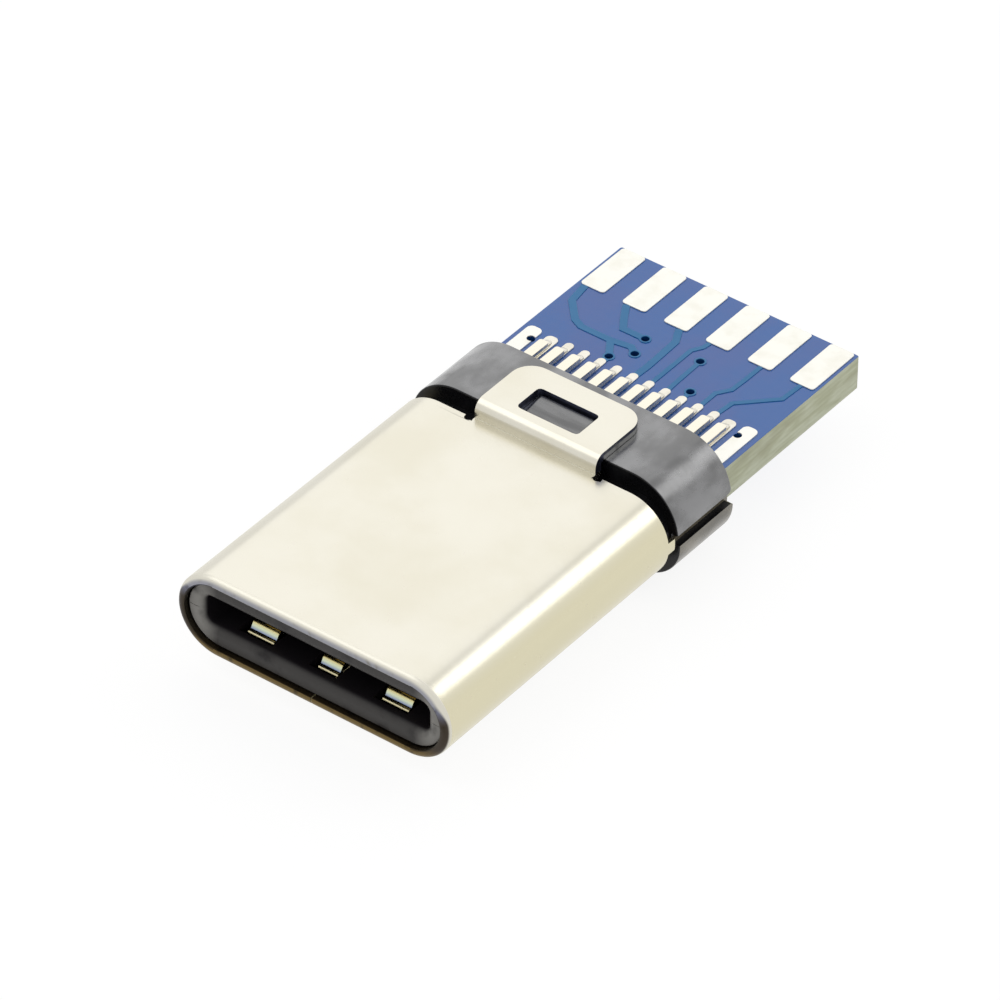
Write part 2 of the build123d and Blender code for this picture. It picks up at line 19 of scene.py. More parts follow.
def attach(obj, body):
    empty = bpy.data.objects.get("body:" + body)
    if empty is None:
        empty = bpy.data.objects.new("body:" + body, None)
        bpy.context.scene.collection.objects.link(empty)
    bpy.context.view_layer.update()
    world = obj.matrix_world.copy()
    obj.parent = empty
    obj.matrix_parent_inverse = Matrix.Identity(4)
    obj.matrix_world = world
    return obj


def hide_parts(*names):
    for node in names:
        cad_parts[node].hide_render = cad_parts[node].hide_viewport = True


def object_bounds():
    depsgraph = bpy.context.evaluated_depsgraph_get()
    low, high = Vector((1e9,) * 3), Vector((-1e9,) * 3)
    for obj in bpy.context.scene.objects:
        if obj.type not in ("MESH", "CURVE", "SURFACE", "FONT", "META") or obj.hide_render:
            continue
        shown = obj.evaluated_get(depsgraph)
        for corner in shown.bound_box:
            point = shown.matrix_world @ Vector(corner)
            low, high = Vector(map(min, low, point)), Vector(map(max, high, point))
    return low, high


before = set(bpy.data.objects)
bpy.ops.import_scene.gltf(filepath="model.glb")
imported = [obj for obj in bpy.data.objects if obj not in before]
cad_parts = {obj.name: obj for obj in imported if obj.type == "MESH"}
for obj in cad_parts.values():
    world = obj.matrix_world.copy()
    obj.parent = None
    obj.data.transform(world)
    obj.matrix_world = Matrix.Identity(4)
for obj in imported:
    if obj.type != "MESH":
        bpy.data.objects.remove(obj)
cad_low, cad_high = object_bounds()

log = logging.getLogger("plug")
logging.basicConfig(level=logging.INFO, format="%(name)s: %(message)s")

MM = 0.001
BODY = "root"

X, Y, Z = range(3)
Colour = tuple[float, float, float]
Span = tuple[float, float]
Number = Union[float, "Signal"]
Test = Callable[[Vector, Any], bool]

CONTACT_PLACES = [0.5 * place - 2.75 for place in range(12)]
NO_LOWER_CONTACT = (6, 7)


class Side(Enum):
    """Which face of the board, or half of the plug, a piece is on."""

    UPPER = 1
    LOWER = -1

    @property
    def word(self) -> str:
        """Return the side's word in the names of the CAD nodes."""
        return self.name.lower()

    @property
    def turned(self) -> bool:
        """Say whether a piece modelled for the upper side is turned over for this one."""
        return self is Side.LOWER

    def holds(self, place: int) -> bool:
        """Say whether the side has a contact at a place of the row, counted from 1."""
        return self is Side.UPPER or place not in NO_LOWER_CONTACT


class Signal:
    """One output socket of a node tree, so that shader maths reads as arithmetic."""

    def __init__(self, desk: "Desk", socket: bpy.types.NodeSocket) -> None:
        """Keep the socket and the tree that it is in.

        Args:
            desk: The tree that new Math nodes go into.
            socket: The output socket that this signal stands for.
        """
        self.desk = desk
        self.socket = socket

    def __add__(self, other: Number) -> "Signal":
        """Return the sum."""
        return self.desk.math("ADD", self, other)

    def __sub__(self, other: Number) -> "Signal":
        """Return the difference."""
        return self.desk.math("SUBTRACT", self, other)

    def __mul__(self, other: Number) -> "Signal":
        """Return the product."""
        return self.desk.math("MULTIPLY", self, other)

    __radd__ = __add__
    __rmul__ = __mul__

    def magnitude(self) -> "Signal":
        """Return the value without its sign."""
        return self.desk.math("ABSOLUTE", self)

    def between(self, low: float, high: float) -> "Signal":
        """Return a smooth step that is 0 at low and 1 at high.

        Args:
            low: The value that gives 0.
            high: The value that gives 1.

        Returns:
            The step as a signal.
        """
        settings = {"interpolation_type": "SMOOTHSTEP"}
        values = {"Value": self, "From Min": low, "From Max": high}
        return self.desk.add("ShaderNodeMapRange", settings, values)


class Desk:
    """A node tree on the bench: one method adds any node, and a few name the usual ones."""

    def __init__(self, tree: bpy.types.NodeTree) -> None:
        """Empty the tree and keep it.

        Args:
            tree: The node tree of a material or of the world.
        """
        self.tree = tree
        self.tree.nodes.clear()

    def add(self, kind: str, settings: dict[str, Any], values: dict[Any, Any],
            output: Any = 0) -> Signal:
        """Add a node, with its settings first and then the values or links of its sockets.

        Args:
            kind: The node's type.
            settings: The node's properties. The entry "stops" gives a ramp's positions and colours.
            values: Socket names or numbers, and what each one is set or linked to.
            output: The name or number of the output socket that is wanted.

        Returns:
            The wanted output as a signal.
        """
        node = self.tree.nodes.new(kind)
        stops = settings.get("stops", ())
        for name, value in settings.items():
            if name != "stops":
                setattr(node, name, value)
        for number, (position, colour) in enumerate(stops):
            elements = node.color_ramp.elements
            element = elements[number] if number < len(elements) else elements.new(position)
            element.position = position
            element.color = (*colour, 1.0)
        for name, value in values.items():
            socket = node.inputs[name]
            if isinstance(value, Signal):
                self.tree.links.new(value.socket, socket)
            elif socket.type == "RGBA" and len(value) == 3:
                socket.default_value = (*value, 1.0)
            else:
                socket.default_value = value
        return Signal(self, node.outputs[output]) if len(node.outputs) else Signal(self, None)

    def math(self, operation: str, *values: Number) -> Signal:
        """Add a Math node.

        Args:
            operation: The node's operation.
            values: Its one or two values, as numbers or signals.

        Returns:
            The result as a signal.
        """
        return self.add("ShaderNodeMath", {"operation": operation}, dict(enumerate(values)))

    def place(self, stretch: Sequence[float] = (1.0, 1.0, 1.0)) -> Signal:
        """Give the place on the piece in millimetres.

        Args:
            stretch: How much each axis is multiplied, so that a pattern runs along the smallest.

        Returns:
            The place as a vector signal.
        """
        where = self.add("ShaderNodeTexCoord", {}, {}, "Object")
        scale = [share / MM for share in stretch]
        return self.add("ShaderNodeVectorMath", {"operation": "MULTIPLY"}, {0: where, 1: scale})

    def axis(self, letter: str) -> Signal:
        """Give one coordinate of the place on the piece, in millimetres.

        Args:
            letter: X, Y or Z.

        Returns:
            The coordinate as a signal.
        """
        return self.add("ShaderNodeSeparateXYZ", {}, {0: self.place()}, letter)

    def noise(self, pitch: float, detail: float = 3.0,
              stretch: Sequence[float] = (1, 1, 1)) -> Signal:
        """Give a cloudy pattern from 0 to 1.

        Args:
            pitch: The pattern's size in millimetres.
            detail: How many finer layers it holds.
            stretch: How much each axis is multiplied.

        Returns:
            The pattern as a signal.
        """
        values = {"Vector": self.place(stretch), "Scale": 1 / pitch, "Detail": detail}
        return self.add("ShaderNodeTexNoise", {}, values, "Fac")

    def blend(self, share: Number, first: Any, second: Any) -> Signal:
        """Mix two colours.

        Args:
            share: How much of the second colour there is, from 0 to 1.
            first: The colour at 0.
            second: The colour at 1.

        Returns:
            The mixed colour as a signal.
        """
        values = {0: share, 6: first, 7: second}
        return self.add("ShaderNodeMix", {"data_type": "RGBA"}, values, 2)

    def bump(self, height: Signal, rise: float) -> Signal:
        """Turn a pattern into a bumpy normal.

        Args:
            height: The pattern, from 0 to 1.
            rise: The height of its highest place in millimetres.

        Returns:
            The normal as a signal.
        """
        values = {"Height": height, "Distance": rise * MM, "Strength": 1.0}
        return self.add("ShaderNodeBump", {}, values)

    def surface(self, values: dict[str, Any]) -> None:
        """Finish the tree with a Principled surface.

        Args:
            values: The surface's socket names, and what each one is set or linked to.
        """
        shader = self.add("ShaderNodeBsdfPrincipled", {}, values)
        self.add("ShaderNodeOutputMaterial", {}, {"Surface": shader})


@dataclass(frozen=True)
class Finish:
    """A finish: a named material that is made the first time it is asked for."""

    name: str
    slot: str

    def material(self) -> bpy.types.Material:
        """Return the finish's material.

        Returns:
            The material, as it was made the first time.
        """
        name = f"{self.name}_finish"
        made = bpy.data.materials.get(name)
        if made is None:
            made = bpy.data.materials.new(name)
            made.use_nodes = True
            self.paint(Desk(made.node_tree))
        return made

    def paint(self, desk: Desk) -> None:
        """Draw the finish's nodes.

        Args:
            desk: The material's node tree.
        """
        raise NotImplementedError


@dataclass(frozen=True)
class PlatedSheet(Finish):
    """Satin nickel on rolled steel: warm white with faint clouds, and a painted yellow reflection
    on the sides.
    """

    colour: Colour = (0.69, 0.665, 0.58)
    cloud_colour: Colour = (0.65, 0.62, 0.52)
    # painted reflection: its colour, and the heights from the top over which it comes in
    rolled_colour: Colour = (0.70, 0.655, 0.47)
    rolled_below: Span = (1.15, 0.55)
    cloud_pitch: float = 2.6
    cloud_range: Span = (0.35, 0.75)
    grain_pitch: float = 0.12
    grain_rise: float = 0.0003
    roughness: float = 0.25
    roughness_spread: float = 0.10

    def paint(self, desk: Desk) -> None:
        """Draw the plating: clouds in the colour, a painted reflection on the sides, and a fine
        grain in the gloss and the surface.

        Args:
            desk: The material's node tree.
        """
        clouds = desk.noise(self.cloud_pitch, detail=4.0).between(*self.cloud_range)
        grain = desk.noise(self.grain_pitch, detail=2.0)
        cloudy = desk.blend(clouds, self.colour, self.cloud_colour)
        # painted reflection on the sides: yellower towards the middle of the height
        rolled = desk.axis("Z").magnitude().between(*self.rolled_below)
        desk.surface({
            "Base Color": desk.blend(rolled, cloudy, self.rolled_colour),
            "Metallic": 1.0,
            "Roughness": self.roughness + self.roughness_spread * (grain - 0.5),
            "Normal": desk.bump(grain, self.grain_rise),
        })


@dataclass(frozen=True)
class ShearedEdge(Finish):
    """A cut edge, bend or inner wall of the sheet, painted with reflections and shade.

    It is dull metal whose colour changes with its height: a straw painted reflection at the bottom,
    dark painted shade in the middle and a bluish painted reflection at the top, with pits. Past its
    reach, which is given for the dark and for the bluish part, it fades into the plating.
    """

    low_colour: Colour = (0.18, 0.125, 0.045)
    dark_colour: Colour = (0.055, 0.044, 0.034)
    high_colour: Colour = (0.20, 0.21, 0.28)
    pit_colour: Colour = (0.035, 0.028, 0.018)
    plated_colour: Colour = (0.69, 0.665, 0.58)
    dark_above: Span = (-1.15, -0.55)
    high_above: Span = (0.2, 0.75)
    reach: Span = (0.09, 0.012)
    fade: float = 0.03
    pit_pitch: float = 0.30
    pit_range: Span = (0.52, 0.80)
    pit_rise: float = 0.002
    roughness: float = 0.38

    def paint(self, desk: Desk) -> None:
        """Draw the painted reflections and shade up the edge, the pits that the die left, and the
        plating behind.

        Args:
            desk: The material's node tree.
        """
        # painted reflections and shade, set by the height of the face
        height = desk.axis("Z").between(*self.high_above)
        darkness = desk.axis("Z").between(*self.dark_above)
        dark = desk.blend(darkness, self.low_colour, self.dark_colour)
        painted_shade = desk.blend(height, dark, self.high_colour)
        pits = desk.noise(self.pit_pitch, detail=4.0)
        cut = desk.blend(pits.between(*self.pit_range), painted_shade, self.pit_colour)
        low, high = self.reach
        behind = (desk.axis("Y") - (low + (high - low) * height)).between(-self.fade, self.fade)
        desk.surface({
            "Base Color": desk.blend(behind, cut, self.plated_colour),
            "Metallic": 1.0,
            "Roughness": self.roughness,
            "Normal": desk.bump(pits, self.pit_rise),
        })


@dataclass(frozen=True)
class Moulding(Finish):
    """Glass-filled black plastic: a soft grain, with paler patches in the colour, a painted mottled
    sheen on the collar.
    """

    colour: Colour = (0.028, 0.028, 0.030)
    mark_colour: Colour = (0.105, 0.105, 0.112)
    mark_pitch: float = 0.8
    mark_stretch: tuple[float, float, float] = (1.0, 0.6, 1.0)
    mark_range: Span = (0.38, 0.66)
    mark_gloss: float = 0.4
    grain_pitch: float = 0.12
    grain_rise: float = 0.0005
    grain_gloss: float = 0.12
    waves_per_mark: float = 1.6
    wave_rise: float = 0.06
    roughness: float = 0.26
    specular: float = 1.0
    index: float = 1.74
    coat: float = 1.0
    coat_range: Span = (0.35, 0.65)
    coat_roughness: float = 0.20

    def paint(self, desk: Desk) -> None:
        """Draw the moulding: pale patches in the colour, which paint a sheen on the collar, patches
        in the gloss, and the grain of the mould.

        Args:
            desk: The material's node tree.
        """
        marks = desk.noise(self.mark_pitch, detail=4.0, stretch=self.mark_stretch)
        waves = desk.noise(self.mark_pitch * self.waves_per_mark, detail=1.0)
        grain = desk.noise(self.grain_pitch)
        height = waves * (self.wave_rise / self.grain_rise) + grain
        patchy_roughness = self.roughness + self.mark_gloss * (marks - 0.5)
        # the mark colour is painted light: a mottled sheen on the collar, a reflection on the lower
        # half and at the ends of the mouth
        desk.surface({
            "Base Color": desk.blend(self.marked(desk, marks), self.colour, self.mark_colour),
            "Roughness": patchy_roughness + self.grain_gloss * (grain - 0.5),
            "Specular IOR Level": self.specular,
            "IOR": self.index,
            "Coat Weight": self.coat * marks.between(*self.coat_range),
            "Coat Roughness": self.coat_roughness,
            "Normal": desk.bump(height, self.grain_rise),
        })

    def marked(self, desk: Desk, marks: Signal) -> Signal:
        """Return how much of the mark colour shows.

        Args:
            desk: The material's node tree.
            marks: The pattern of the flow marks.

        Returns:
            The share, from 0 to 1.
        """
        return marks.between(*self.mark_range)


@dataclass(frozen=True)
class NoseMoulding(Moulding):
    """The darker plastic of the mouth, with a pale painted reflection at the two ends of its face.
    """

    colour: Colour = (0.012, 0.010, 0.012)
    # pale painted reflection at the ends of the face
    mark_colour: Colour = (0.31, 0.30, 0.28)
    mark_range: Span = (0.22, 0.50)
    grain_rise: float = 0.0012
    roughness: float = 0.40
    specular: float = 0.12
    index: float = 1.5
    coat: float = 0.0
    # where the painted reflection comes in, towards the ends and away from the mouth
    ends: Span = (2.7, 3.6)
    depth: Span = (0.32, 0.18)
    lips: float = 0.22

    def marked(self, desk: Desk, marks: Signal) -> Signal:
        """Return how much of the painted reflection shows: less on the lips, and none inside the
        mouth.
        """
        at_end = desk.math("MAXIMUM", desk.axis("X").magnitude().between(*self.ends), self.lips)
        return super().marked(desk, marks) * at_end * desk.axis("Y").between(*self.depth)


@dataclass(frozen=True)
class SprungStrip(Finish):
    """A plated copper strip: its colour changes between two lines across the plug, from one plating
    to another, or through painted reflections and shade along a curl.
    """

    start: float = 8.9
    end: float = 9.5
    stops: tuple[tuple[float, Colour], ...] = ((0.0, (0.86, 0.68, 0.36)), (1.0, (0.76, 0.72, 0.61)))
    draw_pitch: float = 0.08
    draw_stretch: tuple[float, float, float] = (1.0, 0.12, 1.0)
    draw_rise: float = 0.0002
    roughness: float = 0.24
    roughness_spread: float = 0.06

    def paint(self, desk: Desk) -> None:
        """Draw the platings or painted reflections and shade, and the fine lines that rolling left
        along the strip.

        Args:
            desk: The material's node tree.
        """
        lines = desk.noise(self.draw_pitch, detail=2.0, stretch=self.draw_stretch)
        along = (desk.axis("Y") - self.start) * (1 / (self.end - self.start))
        # a ramp of platings, or of gilt with painted reflections and shade, along the strip
        plating = desk.add("ShaderNodeValToRGB", {"stops": self.stops}, {"Fac": along}, "Color")
        desk.surface({
            "Base Color": plating,
            "Metallic": 1.0,
            "Roughness": self.roughness + self.roughness_spread * (lines - 0.5),
            "Normal": desk.bump(lines, self.draw_rise),
        })


@dataclass(frozen=True)
class Tin(Finish):
    """Hot-levelled solder on a pad: pale, soft and slightly uneven."""

    colour: Colour = (0.85, 0.84, 0.78)
    dull_colour: Colour = (0.80, 0.785, 0.71)
    pool_pitch: float = 0.45
    pool_range: Span = (0.4, 0.75)
    pool_rise: float = 0.010
    grain_pitch: float = 0.05625
    grain_share: float = 0.1
    metallic: float = 0.75
    roughness: float = 0.34
    roughness_spread: float = 0.12

    def paint(self, desk: Desk) -> None:
        """Draw the solder: soft pools that change the colour, the gloss and the surface.

        Args:
            desk: The material's node tree.
        """
        pools = desk.noise(self.pool_pitch, detail=2.0)
        grain = desk.noise(self.grain_pitch, detail=2.0)
        desk.surface({
            "Base Color": desk.blend(
                pools.between(*self.pool_range), self.colour, self.dull_colour),
            "Metallic": self.metallic,
            "Roughness": self.roughness + self.roughness_spread * (grain - 0.5),
            "Normal": desk.bump(pools + self.grain_share * grain, self.pool_rise),
        })


@dataclass(frozen=True)
class SolderMask(Finish):
    """Glossy blue mask over laminate or copper, with the weave of the glass showing faintly."""

    colour: Colour = (0.003, 0.106, 0.41)
    weave_colour: Colour = (0.026, 0.100, 0.385)
    cloud_pitch: float = 1.9
    cloud_range: Span = (0.36, 0.62)
    cloud_share: float = 0.85
    weave_pitch: float = 0.35
    thread_rise: float = 0.25
    weave_share: float = 0.15
    weave_rise: float = 0.0012
    roughness: float = 0.22
    specular: float = 0.5
    coat: float = 0.4
    coat_roughness: float = 0.12

    def paint(self, desk: Desk) -> None:
        """Draw the mask: clouds of thicker ink over two crossed sets of threads.

        Args:
            desk: The material's node tree.
        """
        clouds = desk.noise(self.cloud_pitch).between(*self.cloud_range)
        waves = [desk.math("SINE", desk.axis(letter) * (2 * math.pi / self.weave_pitch))
                 for letter in "XY"]
        threads = self.thread_rise * waves[0] + self.thread_rise * waves[1]
        share = clouds * self.cloud_share + self.weave_share * threads
        desk.surface({
            "Base Color": desk.blend(share, self.colour, self.weave_colour),
            "Roughness": self.roughness,
            "Specular IOR Level": self.specular,
            "Coat Weight": self.coat,
            "Coat Roughness": self.coat_roughness,
            "Normal": desk.bump(threads + 0.5, self.weave_rise),
        })


@dataclass(frozen=True)
class Laminate(Finish):
    """The cut edge of the board: pale glass plies in straw-coloured resin."""

    resin: Colour = (0.50, 0.52, 0.34)
    glass: Colour = (0.68, 0.71, 0.54)
    smear: Colour = (0.40, 0.40, 0.26)
    plies: int = 7
    thickness: float = 1.0
    band_share: float = 0.25
    tear: float = 5.0
    bundle_pitch: float = 0.30
    bundle_stretch: tuple[float, float, float] = (1.0, 0.35, 1.6)
    bundle_range: Span = (0.32, 0.68)
    smear_pitch: float = 1.3
    smear_stretch: tuple[float, float, float] = (1.0, 0.7, 1.8)
    smear_range: Span = (0.5, 0.75)
    smear_share: float = 0.7
    rise: float = 0.003
    roughness: float = 0.6

    def paint(self, desk: Desk) -> None:
        """Draw faint plies up the edge, torn by the bundles of glass and smeared by the cutter.

        Args:
            desk: The material's node tree.
        """
        bundles = desk.noise(self.bundle_pitch, stretch=self.bundle_stretch)
        smears = desk.noise(self.smear_pitch, stretch=self.smear_stretch)
        height = desk.axis("Z") * (2 * math.pi * self.plies / self.thickness)
        bands = 0.5 * desk.math("SINE", height + self.tear * bundles) + 0.5
        torn = bundles.between(*self.bundle_range)
        share = bands * self.band_share + (1 - self.band_share) * torn
        cut = desk.blend(share, self.resin, self.glass)
        smeared = smears.between(*self.smear_range) * self.smear_share
        desk.surface({
            "Base Color": desk.blend(smeared, cut, self.smear),
            "Roughness": self.roughness,
            "Normal": desk.bump(share, self.rise),
        })


SHEET_SLOT, COLLAR_SLOT, BOARD_SLOT, PAD_SLOT = (
    "nickel_shell", "collar_moulding", "blue_board", "tinned_pad")
NO_FADE = (20.0, 20.0)
WHITE = (1.0, 1.0, 1.0)
# painted shade in the crease at the root of each tab
PAINTED_CREASE_SHADE = (0.60, 0.58, 0.48)
# plated nickel, with a painted yellow reflection on the sides
NICKEL = PlatedSheet("satin_nickel", SHEET_SLOT)
# the mouth's rim: a painted reflection, golden brown below and lavender grey above, dark between
RIM_PAINTED_REFLECTION = ShearedEdge("mouth_edge", SHEET_SLOT)
# the tabs' cut edges and window walls: painted shade, dark navy on the upper tab, and a straw
# painted reflection on the lower one
TAB_CUT_PAINTED_SHADE = ShearedEdge("tab_edge", SHEET_SLOT, high_colour=(0.10, 0.11, 0.17), reach=NO_FADE)
# the upper tab's outer cut edge: a painted shadow, near black at the top and grey below
TAB_SIDE_PAINTED_SHADOW = ShearedEdge(
    "tab_wall", SHEET_SLOT, high_colour=(0.04, 0.045, 0.08), dark_colour=(0.40, 0.40, 0.39),
    pit_colour=(0.20, 0.20, 0.20), high_above=(1.57, 1.62), reach=NO_FADE)
# the crease at the tab's root: painted shade, dull so that it takes no highlight
CREASE = ShearedEdge(
    "crease", SHEET_SLOT, high_colour=PAINTED_CREASE_SHADE, pit_colour=PAINTED_CREASE_SHADE,
    low_colour=PAINTED_CREASE_SHADE, reach=NO_FADE, roughness=0.5)
# the inner wall behind the rim: painted shade, dark brown to black
BORE_PAINTED_SHADE = ShearedEdge(
    "bore_wall", SHEET_SLOT, low_colour=(0.075, 0.052, 0.026), dark_colour=(0.05, 0.042, 0.03),
    high_colour=(0.03, 0.03, 0.045), reach=NO_FADE)
NOSE_PLASTIC = NoseMoulding("nose_moulding", "black_moulding")
# a near-black painted shade on the collar's front, its core and the parting gap
GAP_PAINTED_SHADE = Moulding(
    "gap_moulding", COLLAR_SLOT, colour=(0.004, 0.004, 0.005), mark_colour=(0.008, 0.008, 0.009),
    index=1.5, roughness=0.30, specular=0.25, coat=0.0)
# its pale patches are a painted mottled sheen
COLLAR_PLASTIC = Moulding("collar_moulding", COLLAR_SLOT)
# the lower half's warm grey is a painted reflection of the floor on the same black plastic
LOWER_PAINTED_REFLECTION = Moulding(
    "lower_collar_moulding", COLLAR_SLOT, colour=(0.10, 0.085, 0.055),
    mark_colour=(0.22, 0.19, 0.13), specular=0.6, index=1.6, coat=0.3)
RAMP_PLASTIC = Moulding(
    "ramp_moulding", COLLAR_SLOT, mark_colour=(0.07, 0.07, 0.073), mark_pitch=0.3,
    mark_stretch=(0.12, 1.0, 1.0), wave_rise=0.01, index=1.6)
# the ground fingers, from the tip back: gilt, a bluish painted reflection, a pale painted
# highlight, gilt, and a dark painted shade towards the slot
GILT_AND_PAINTED_LIGHT = SprungStrip("gilt_spring", "gilt_spring", start=0.70, end=1.00, roughness=0.22, stops=(
    (0.0, (0.50, 0.45, 0.28)), (0.10, (0.50, 0.45, 0.28)), (0.24, (0.20, 0.25, 0.42)),
    (0.42, (0.60, 0.66, 0.48)), (0.62, (0.66, 0.54, 0.22)), (0.95, (0.24, 0.14, 0.03))
))
STRIP = SprungStrip("contact_strip", "contact_alloy", draw_rise=0.00004)
# the latch's painted side reflection is close to its own grey
LATCH_STEEL = PlatedSheet(
    "latch_steel", "latch_steel", colour=(0.60, 0.59, 0.57), cloud_colour=(0.54, 0.53, 0.51),
    rolled_colour=(0.58, 0.57, 0.55))
TINNED = Tin("levelled_tin", PAD_SLOT)
JOINT_TIN = Tin("joint_tin", PAD_SLOT, colour=(0.80, 0.77, 0.68), dull_colour=(0.72, 0.69, 0.60))
BLUE_MASK = SolderMask("blue_mask", BOARD_SLOT)
TRACK_MASK = SolderMask(
    "track_mask", "masked_copper", colour=(0.030, 0.185, 0.41), weave_colour=(0.040, 0.20, 0.43),
    roughness=0.4, specular=0.35, coat=0.0)
VIA_WALL = SolderMask(
    "via_wall", BOARD_SLOT, colour=(0.006, 0.05, 0.20), weave_colour=(0.01, 0.07, 0.25))
BOARD_EDGE = Laminate("board_edge", BOARD_SLOT)

# The share of a direction along an axis, for a face that faces it or leans to it, or an edge on it.
FACING, LEANING, WHOLLY = 0.5, 0.05, 0.99
# How near, in millimetres, two places are when they count as one, in a test and in a merge.
NEAR, SLACK, MERGE_WITHIN = 0.003, 0.01, 0.0005
# The turns, in degrees, up to which faces are one plane, and over which edges are bevelled or hard.
FLAT_TURN, SHARP_TURN, MOULDED_TURN = 0.4, 50.0, 28.0
# How far, in millimetres, a cutting tool stands out of what it cuts, and the width that covers all.
OVERCUT, BEYOND, WIDE = 0.1, 1.0, 18.0


class Pick(Enum):
    """What a selection in edit mode is made of."""

    VERTS = "VERT"
    EDGES = "EDGE"
    FACES = "FACE"


def near(value: float, target: float, slack: float = NEAR) -> bool:
    """Say whether a value is at a target, within a few thousandths of a millimetre."""
    return abs(value - target) < slack


def about(size: float) -> Span:
    """Return the span of a size that is centred on zero."""
    return -size / 2, size / 2


def middle(part: Any) -> Vector:
    """Return the middle of a vertex, an edge or a face."""
    if isinstance(part, bmesh.types.BMVert):
        return part.co
    return sum((vert.co for vert in part.verts), Vector()) / len(part.verts)


def lies_along(edge: bmesh.types.BMEdge, axis: int) -> bool:
    """Say whether an edge runs along an axis, given by its number."""
    run = edge.verts[1].co - edge.verts[0].co
    return abs(run[axis]) > WHOLLY * run.length


def anywhere(at: Vector, part: Any) -> bool:
    """Pass every part of a mesh."""
    return True


def runs_along(axis: int) -> Test:
    """Return a test for the edges that run along an axis."""
    return lambda at, edge: lies_along(edge, axis)


def lies_on(axis: int, *places: float) -> Test:
    """Return a test for the edges with both ends at one of the places on an axis."""
    return lambda at, edge: any(all(near(vert.co[axis], place) for vert in edge.verts)
                                for place in places)


class Workpiece:
    """A mesh on the bench, in millimetres, until it is finished and brought into the frame."""

    def __init__(self, thing: bpy.types.Object, name: str) -> None:
        """Name the mesh, and set it at the origin with its place in the mesh.

        Args:
            thing: The selected, active object that holds the mesh.
            name: The piece's name.
        """
        self.thing = thing
        thing.name = thing.data.name = name
        bpy.ops.object.transform_apply(location=True, rotation=True, scale=True)

    @classmethod
    def block(cls, name: str, width: float, along: Span, up: Span, x: float = 0.0) -> "Workpiece":
        """Start from a block.

        Args:
            name: The piece's name.
            width: Its size across the plug.
            along: Where it starts and ends along the plug.
            up: Its lowest and highest level.
            x: Where its middle is across the plug.

        Returns:
            The block, in object mode.
        """
        leave_edit_mode()
        low = Vector((x - width / 2, along[0], up[0]))
        high = Vector((x + width / 2, along[1], up[1]))
        bpy.ops.mesh.primitive_cube_add(size=1.0, location=(low + high) / 2, scale=high - low)
        return cls(bpy.context.object, name)

    @classmethod
    def sheet(cls, name: str, width: float, along: Span, level: float) -> "Workpiece":
        """Start from a flat sheet that lies level.

        Args:
            name: The piece's name.
            width: Its size across the plug.
            along: Where it starts and ends along the plug.
            level: Its height.

        Returns:
            The sheet, in object mode.
        """
        leave_edit_mode()
        low, high = Vector((-width / 2, along[0], level)), Vector((width / 2, along[1], level))
        size = high - low
        bpy.ops.mesh.primitive_plane_add(size=1.0, location=(low + high) / 2)
        bpy.context.object.scale = (size.x, size.y, 1.0)
        return cls(bpy.context.object, name)

    @classmethod
    def rod(cls, name: str, place: Sequence[float], radius: float, length: float) -> "Workpiece":
        """Start from an upright rod.

        Args:
            name: The piece's name.
            place: The rod's middle.
            radius: Its radius.
            length: Its length.

        Returns:
            The rod, in object mode.
        """
        leave_edit_mode()
        shape = {"vertices": 24, "radius": radius, "depth": length}
        bpy.ops.mesh.primitive_cylinder_add(location=place, **shape)
        return cls(bpy.context.object, name)

    @classmethod
    def from_node(cls, node: str, name: str) -> "Workpiece":
        """Start from a merged copy of a CAD node, with its flat faces whole.

        Args:
            node: The CAD node's name.
            name: The piece's name.

        Returns:
            The copy, in object mode.
        """
        leave_edit_mode()
        thing = bpy.data.objects.new(name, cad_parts[node].data.copy())
        thing.data.materials.clear()
        thing.data.transform(Matrix.Scale(1 / MM, 4))
        bpy.context.collection.objects.link(thing)
        make_active(thing)
        piece = cls(thing, name)
        piece.edit()
        bpy.ops.mesh.select_all(action="SELECT")
        bpy.ops.mesh.customdata_custom_splitnormals_clear()
        bpy.ops.mesh.remove_doubles(threshold=MERGE_WITHIN)
        bpy.ops.mesh.dissolve_limited(angle_limit=math.radians(FLAT_TURN))
        bpy.ops.object.mode_set(mode="OBJECT")
        return piece

    def edit(self) -> None:
        """Make the piece the only one selected, and open it in edit mode."""
        leave_edit_mode()
        make_active(self.thing)
        bpy.ops.object.mode_set(mode="EDIT")

    def pick(self, kind: Pick, test: Test) -> None:
        """Open the piece, and select the parts of its mesh that pass a test, and nothing else.

        Args:
            kind: Whether vertices, edges or faces are tested.
            test: A test of a part's middle and of the part itself.

        Raises:
            ValueError: If no part passes.
        """
        if self.thing.mode != "EDIT":
            self.edit()
        bpy.ops.mesh.select_mode(type=kind.value)
        bpy.ops.mesh.select_all(action="DESELECT")
        mesh = bmesh.from_edit_mesh(self.thing.data)
        parts = {Pick.VERTS: mesh.verts, Pick.EDGES: mesh.edges, Pick.FACES: mesh.faces}[kind]
        chosen = [part for part in parts if test(middle(part), part)]
        for part in chosen:
            part.select_set(True)
        mesh.select_flush_mode()
        bmesh.update_edit_mesh(self.thing.data)
        if not chosen:
            raise ValueError(f"nothing was picked on {self.thing.name}")

    def cut_across(self, place: float, axis: int, test: Test) -> None:
        """Cut the faces that pass a test with a plane across an axis, and keep both sides.

        Args:
            place: Where the plane stands on the axis.
            axis: The axis, by its number.
            test: A test of a face's middle and of the face itself.
        """
        self.pick(Pick.FACES, test)
        point, normal = Vector(), Vector()
        point[axis], normal[axis] = place, 1.0
        bpy.ops.mesh.bisect(plane_co=point, plane_no=normal)

    def remove_faces(self, test: Test) -> None:
        """Delete the faces that pass a test."""
        self.pick(Pick.FACES, test)
        bpy.ops.mesh.delete(type="FACE")

